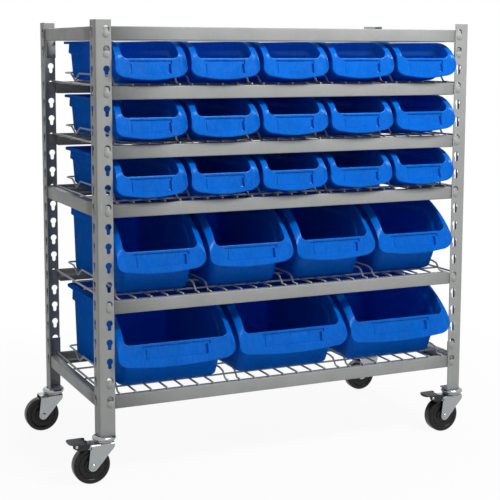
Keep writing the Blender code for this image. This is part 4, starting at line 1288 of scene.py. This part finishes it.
# Camera solved on the photograph: place in metres, angles in degrees, focal length and middle row in pixels
CAMERA_AT = (-1.1221, -2.4218, 0.8542)
CAMERA_YAW = 24.7053
CAMERA_PITCH = -7.0979
CAMERA_ROLL = 0.1772
FOCAL_PIXELS = 1212.33
PRINCIPAL_ROW = 200.0
FLOOR_HALF = 6.0


def pose(side, top, away, place):
    """A pose from its three axes and its place."""
    rows = np.column_stack([side, top, away, place])
    return Matrix([list(row) for row in rows] + [[0, 0, 0, 1]])


def camera_matrix():
    """Camera pose from its heading clockwise from +Y, its tilt and its roll."""
    yaw, pitch, roll = (math.radians(a) for a in (CAMERA_YAW, CAMERA_PITCH, CAMERA_ROLL))
    forward = np.array([math.sin(yaw) * math.cos(pitch), math.cos(yaw) * math.cos(pitch), math.sin(pitch)])
    level = np.array([math.cos(yaw), -math.sin(yaw), 0.0])
    upright = np.cross(level, forward)
    right = level * math.cos(roll) + upright * math.sin(roll)
    up = upright * math.cos(roll) - level * math.sin(roll)
    return pose(right, up, -forward, CAMERA_AT)


def seen(tree):
    """One where a ray is seen by the camera, in gloss or through glass."""
    path = add(tree, "ShaderNodeLightPath")
    first = add(tree, "ShaderNodeMath", {0: path.outputs["Is Camera Ray"], 1: path.outputs["Is Glossy Ray"]},
                operation="MAXIMUM")
    both = add(tree, "ShaderNodeMath", {0: first.outputs[0], 1: path.outputs["Is Transmission Ray"]},
               operation="MAXIMUM")
    return both.outputs[0]


def area_light(name, place, target, size, power):
    """A soft white rectangular lamp that looks from one point to another."""
    lamp = bpy.data.lights.new(name, "AREA")
    lamp.shape = "RECTANGLE"
    lamp.size, lamp.size_y = size
    lamp.energy = power
    made = bpy.data.objects.new(name, lamp)
    bpy.context.scene.collection.objects.link(made)
    away = unit(np.asarray(place, dtype=float) - np.asarray(target, dtype=float))
    side = unit(np.cross((0.0, 0.0, 1.0), away))
    top = np.cross(away, side)
    made.matrix_world = pose(side, top, away, place)


class CART_OT_stage(bpy.types.Operator):
    """Makes the pale floor, the lamps, the white surround and the camera"""

    bl_idname = "cart.stage"
    bl_label = "Studio"

    def execute(self, context):
        scene = context.scene
        surface = Surface()
        edge = np.linspace(-FLOOR_HALF, FLOOR_HALF, 3)
        x, y = np.meshgrid(edge, edge)
        surface.grid(np.stack([x, y, np.full_like(x, -0.0002)], axis=-1))
        mesh = surface.mesh("floor", solid=False)
        face_toward(mesh, (0, 0, 1))
        material, tree, place = new_material("pale_studio_floor")
        # Matt pale paper with faint clouds of 400 mm. Where it is seen it is lifted toward white: near the
        # cart it keeps its shadow, and farther out it turns into the white surround
        pale = scene.cart_colours.floor
        base = patched(tree, place, shade(pale, 0.99), shade(pale), 400 * MM)
        shader = add(tree, "ShaderNodeBsdfPrincipled", {"Base Color": base, "Roughness": 0.9})
        glow = add(tree, "ShaderNodeEmission", {"Color": (1, 1, 1, 1), "Strength": 1.0})
        far = add(tree, "ShaderNodeVectorMath", {0: place}, operation="LENGTH").outputs["Value"]
        lift = add(tree, "ShaderNodeMapRange", {"Value": far, 1: 0.5, 2: 1.3, 3: 0.93, 4: 1.0}, clamp=True)
        share = add(tree, "ShaderNodeMath", {0: seen(tree), 1: lift.outputs["Result"]}, operation="MULTIPLY")
        paper = {0: share.outputs[0], 1: shader.outputs[0], 2: glow.outputs[0]}
        mix = add(tree, "ShaderNodeMixShader", paper)
        add(tree, "ShaderNodeOutputMaterial", {"Surface": mix.outputs[0]})
        mesh.materials.append(material)
        floor = bpy.data.objects.new("studio_floor", mesh)
        scene.collection.objects.link(floor)

        world = bpy.data.worlds.new("white_surround")
        scene.world = world
        world.use_nodes = True
        tree = world.node_tree
        tree.nodes.clear()
        strength = add(tree, "ShaderNodeMapRange", {"Value": seen(tree), 1: 0.0, 2: 1.0, 3: 0.34, 4: 1.0})
        back = add(tree, "ShaderNodeBackground", {"Color": (1, 1, 1, 1), "Strength": strength.outputs[0]})
        add(tree, "ShaderNodeOutputWorld", {"Surface": back.outputs[0]})

        area_light("key_softbox", (0.45, -1.20, 2.00), (0, -0.1, 0.60), (1.2, 0.24), 37)
        area_light("fill_softbox", (0.9, -3.2, 0.9), (0, 0, 0.35), (1.2, 1.2), 2.0)
        area_light("rear_softbox", (0.5, 2.4, 2.0), (0, 0, 0.5), (2.0, 1.2), 18)

        data = bpy.data.cameras.new("photo_camera")
        data.sensor_width = 36.0
        data.lens = FOCAL_PIXELS / PHOTO_SIDE * data.sensor_width
        data.shift_y = (PRINCIPAL_ROW - PHOTO_SIDE / 2) / PHOTO_SIDE
        data.clip_start = 0.05
        data.clip_end = 50.0
        camera = bpy.data.objects.new("photo_camera", data)
        scene.collection.objects.link(camera)
        camera.matrix_world = camera_matrix()
        scene.camera = camera
        scene.view_settings.view_transform = "Standard"
        return {"FINISHED"}


STEPS_IN_ORDER = (CART_OT_stage, CART_OT_posts, CART_OT_beams, CART_OT_decks, CART_OT_bins, CART_OT_casters,
                  CART_OT_wheels, CART_OT_pedals)


class CART_PT_panel(bpy.types.Panel):
    """Lists the steps, the sizes and the colours"""

    bl_idname = "CART_PT_panel"
    bl_label = "Bin cart"
    bl_space_type = "VIEW_3D"
    bl_region_type = "UI"
    bl_category = "Bin cart"

    def draw(self, context):
        for step in STEPS_IN_ORDER:
            self.layout.operator(step.bl_idname)
        for group in (context.scene.cart_sizes, context.scene.cart_colours):
            box = self.layout.box()
            for name in group.__annotations__:
                box.prop(group, name)


CLASSES = (CartSizes, CartColours) + STEPS_IN_ORDER + (CART_PT_panel,)


def register():
    """Registers the classes and ties the sizes and colours to the scene."""
    for item in CLASSES:
        bpy.utils.register_class(item)
    bpy.types.Scene.cart_sizes = PointerProperty(type=CartSizes)
    bpy.types.Scene.cart_colours = PointerProperty(type=CartColours)


def unregister():
    """Takes the classes away again."""
    del bpy.types.Scene.cart_colours
    del bpy.types.Scene.cart_sizes
    for item in reversed(CLASSES):
        bpy.utils.unregister_class(item)


def main():
    """Makes the whole cart."""
    register()
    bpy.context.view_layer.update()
    for step in STEPS_IN_ORDER:
        group, name = step.bl_idname.split(".")
        getattr(getattr(bpy.ops, group), name)()


if __name__ == "__main__":
    main()
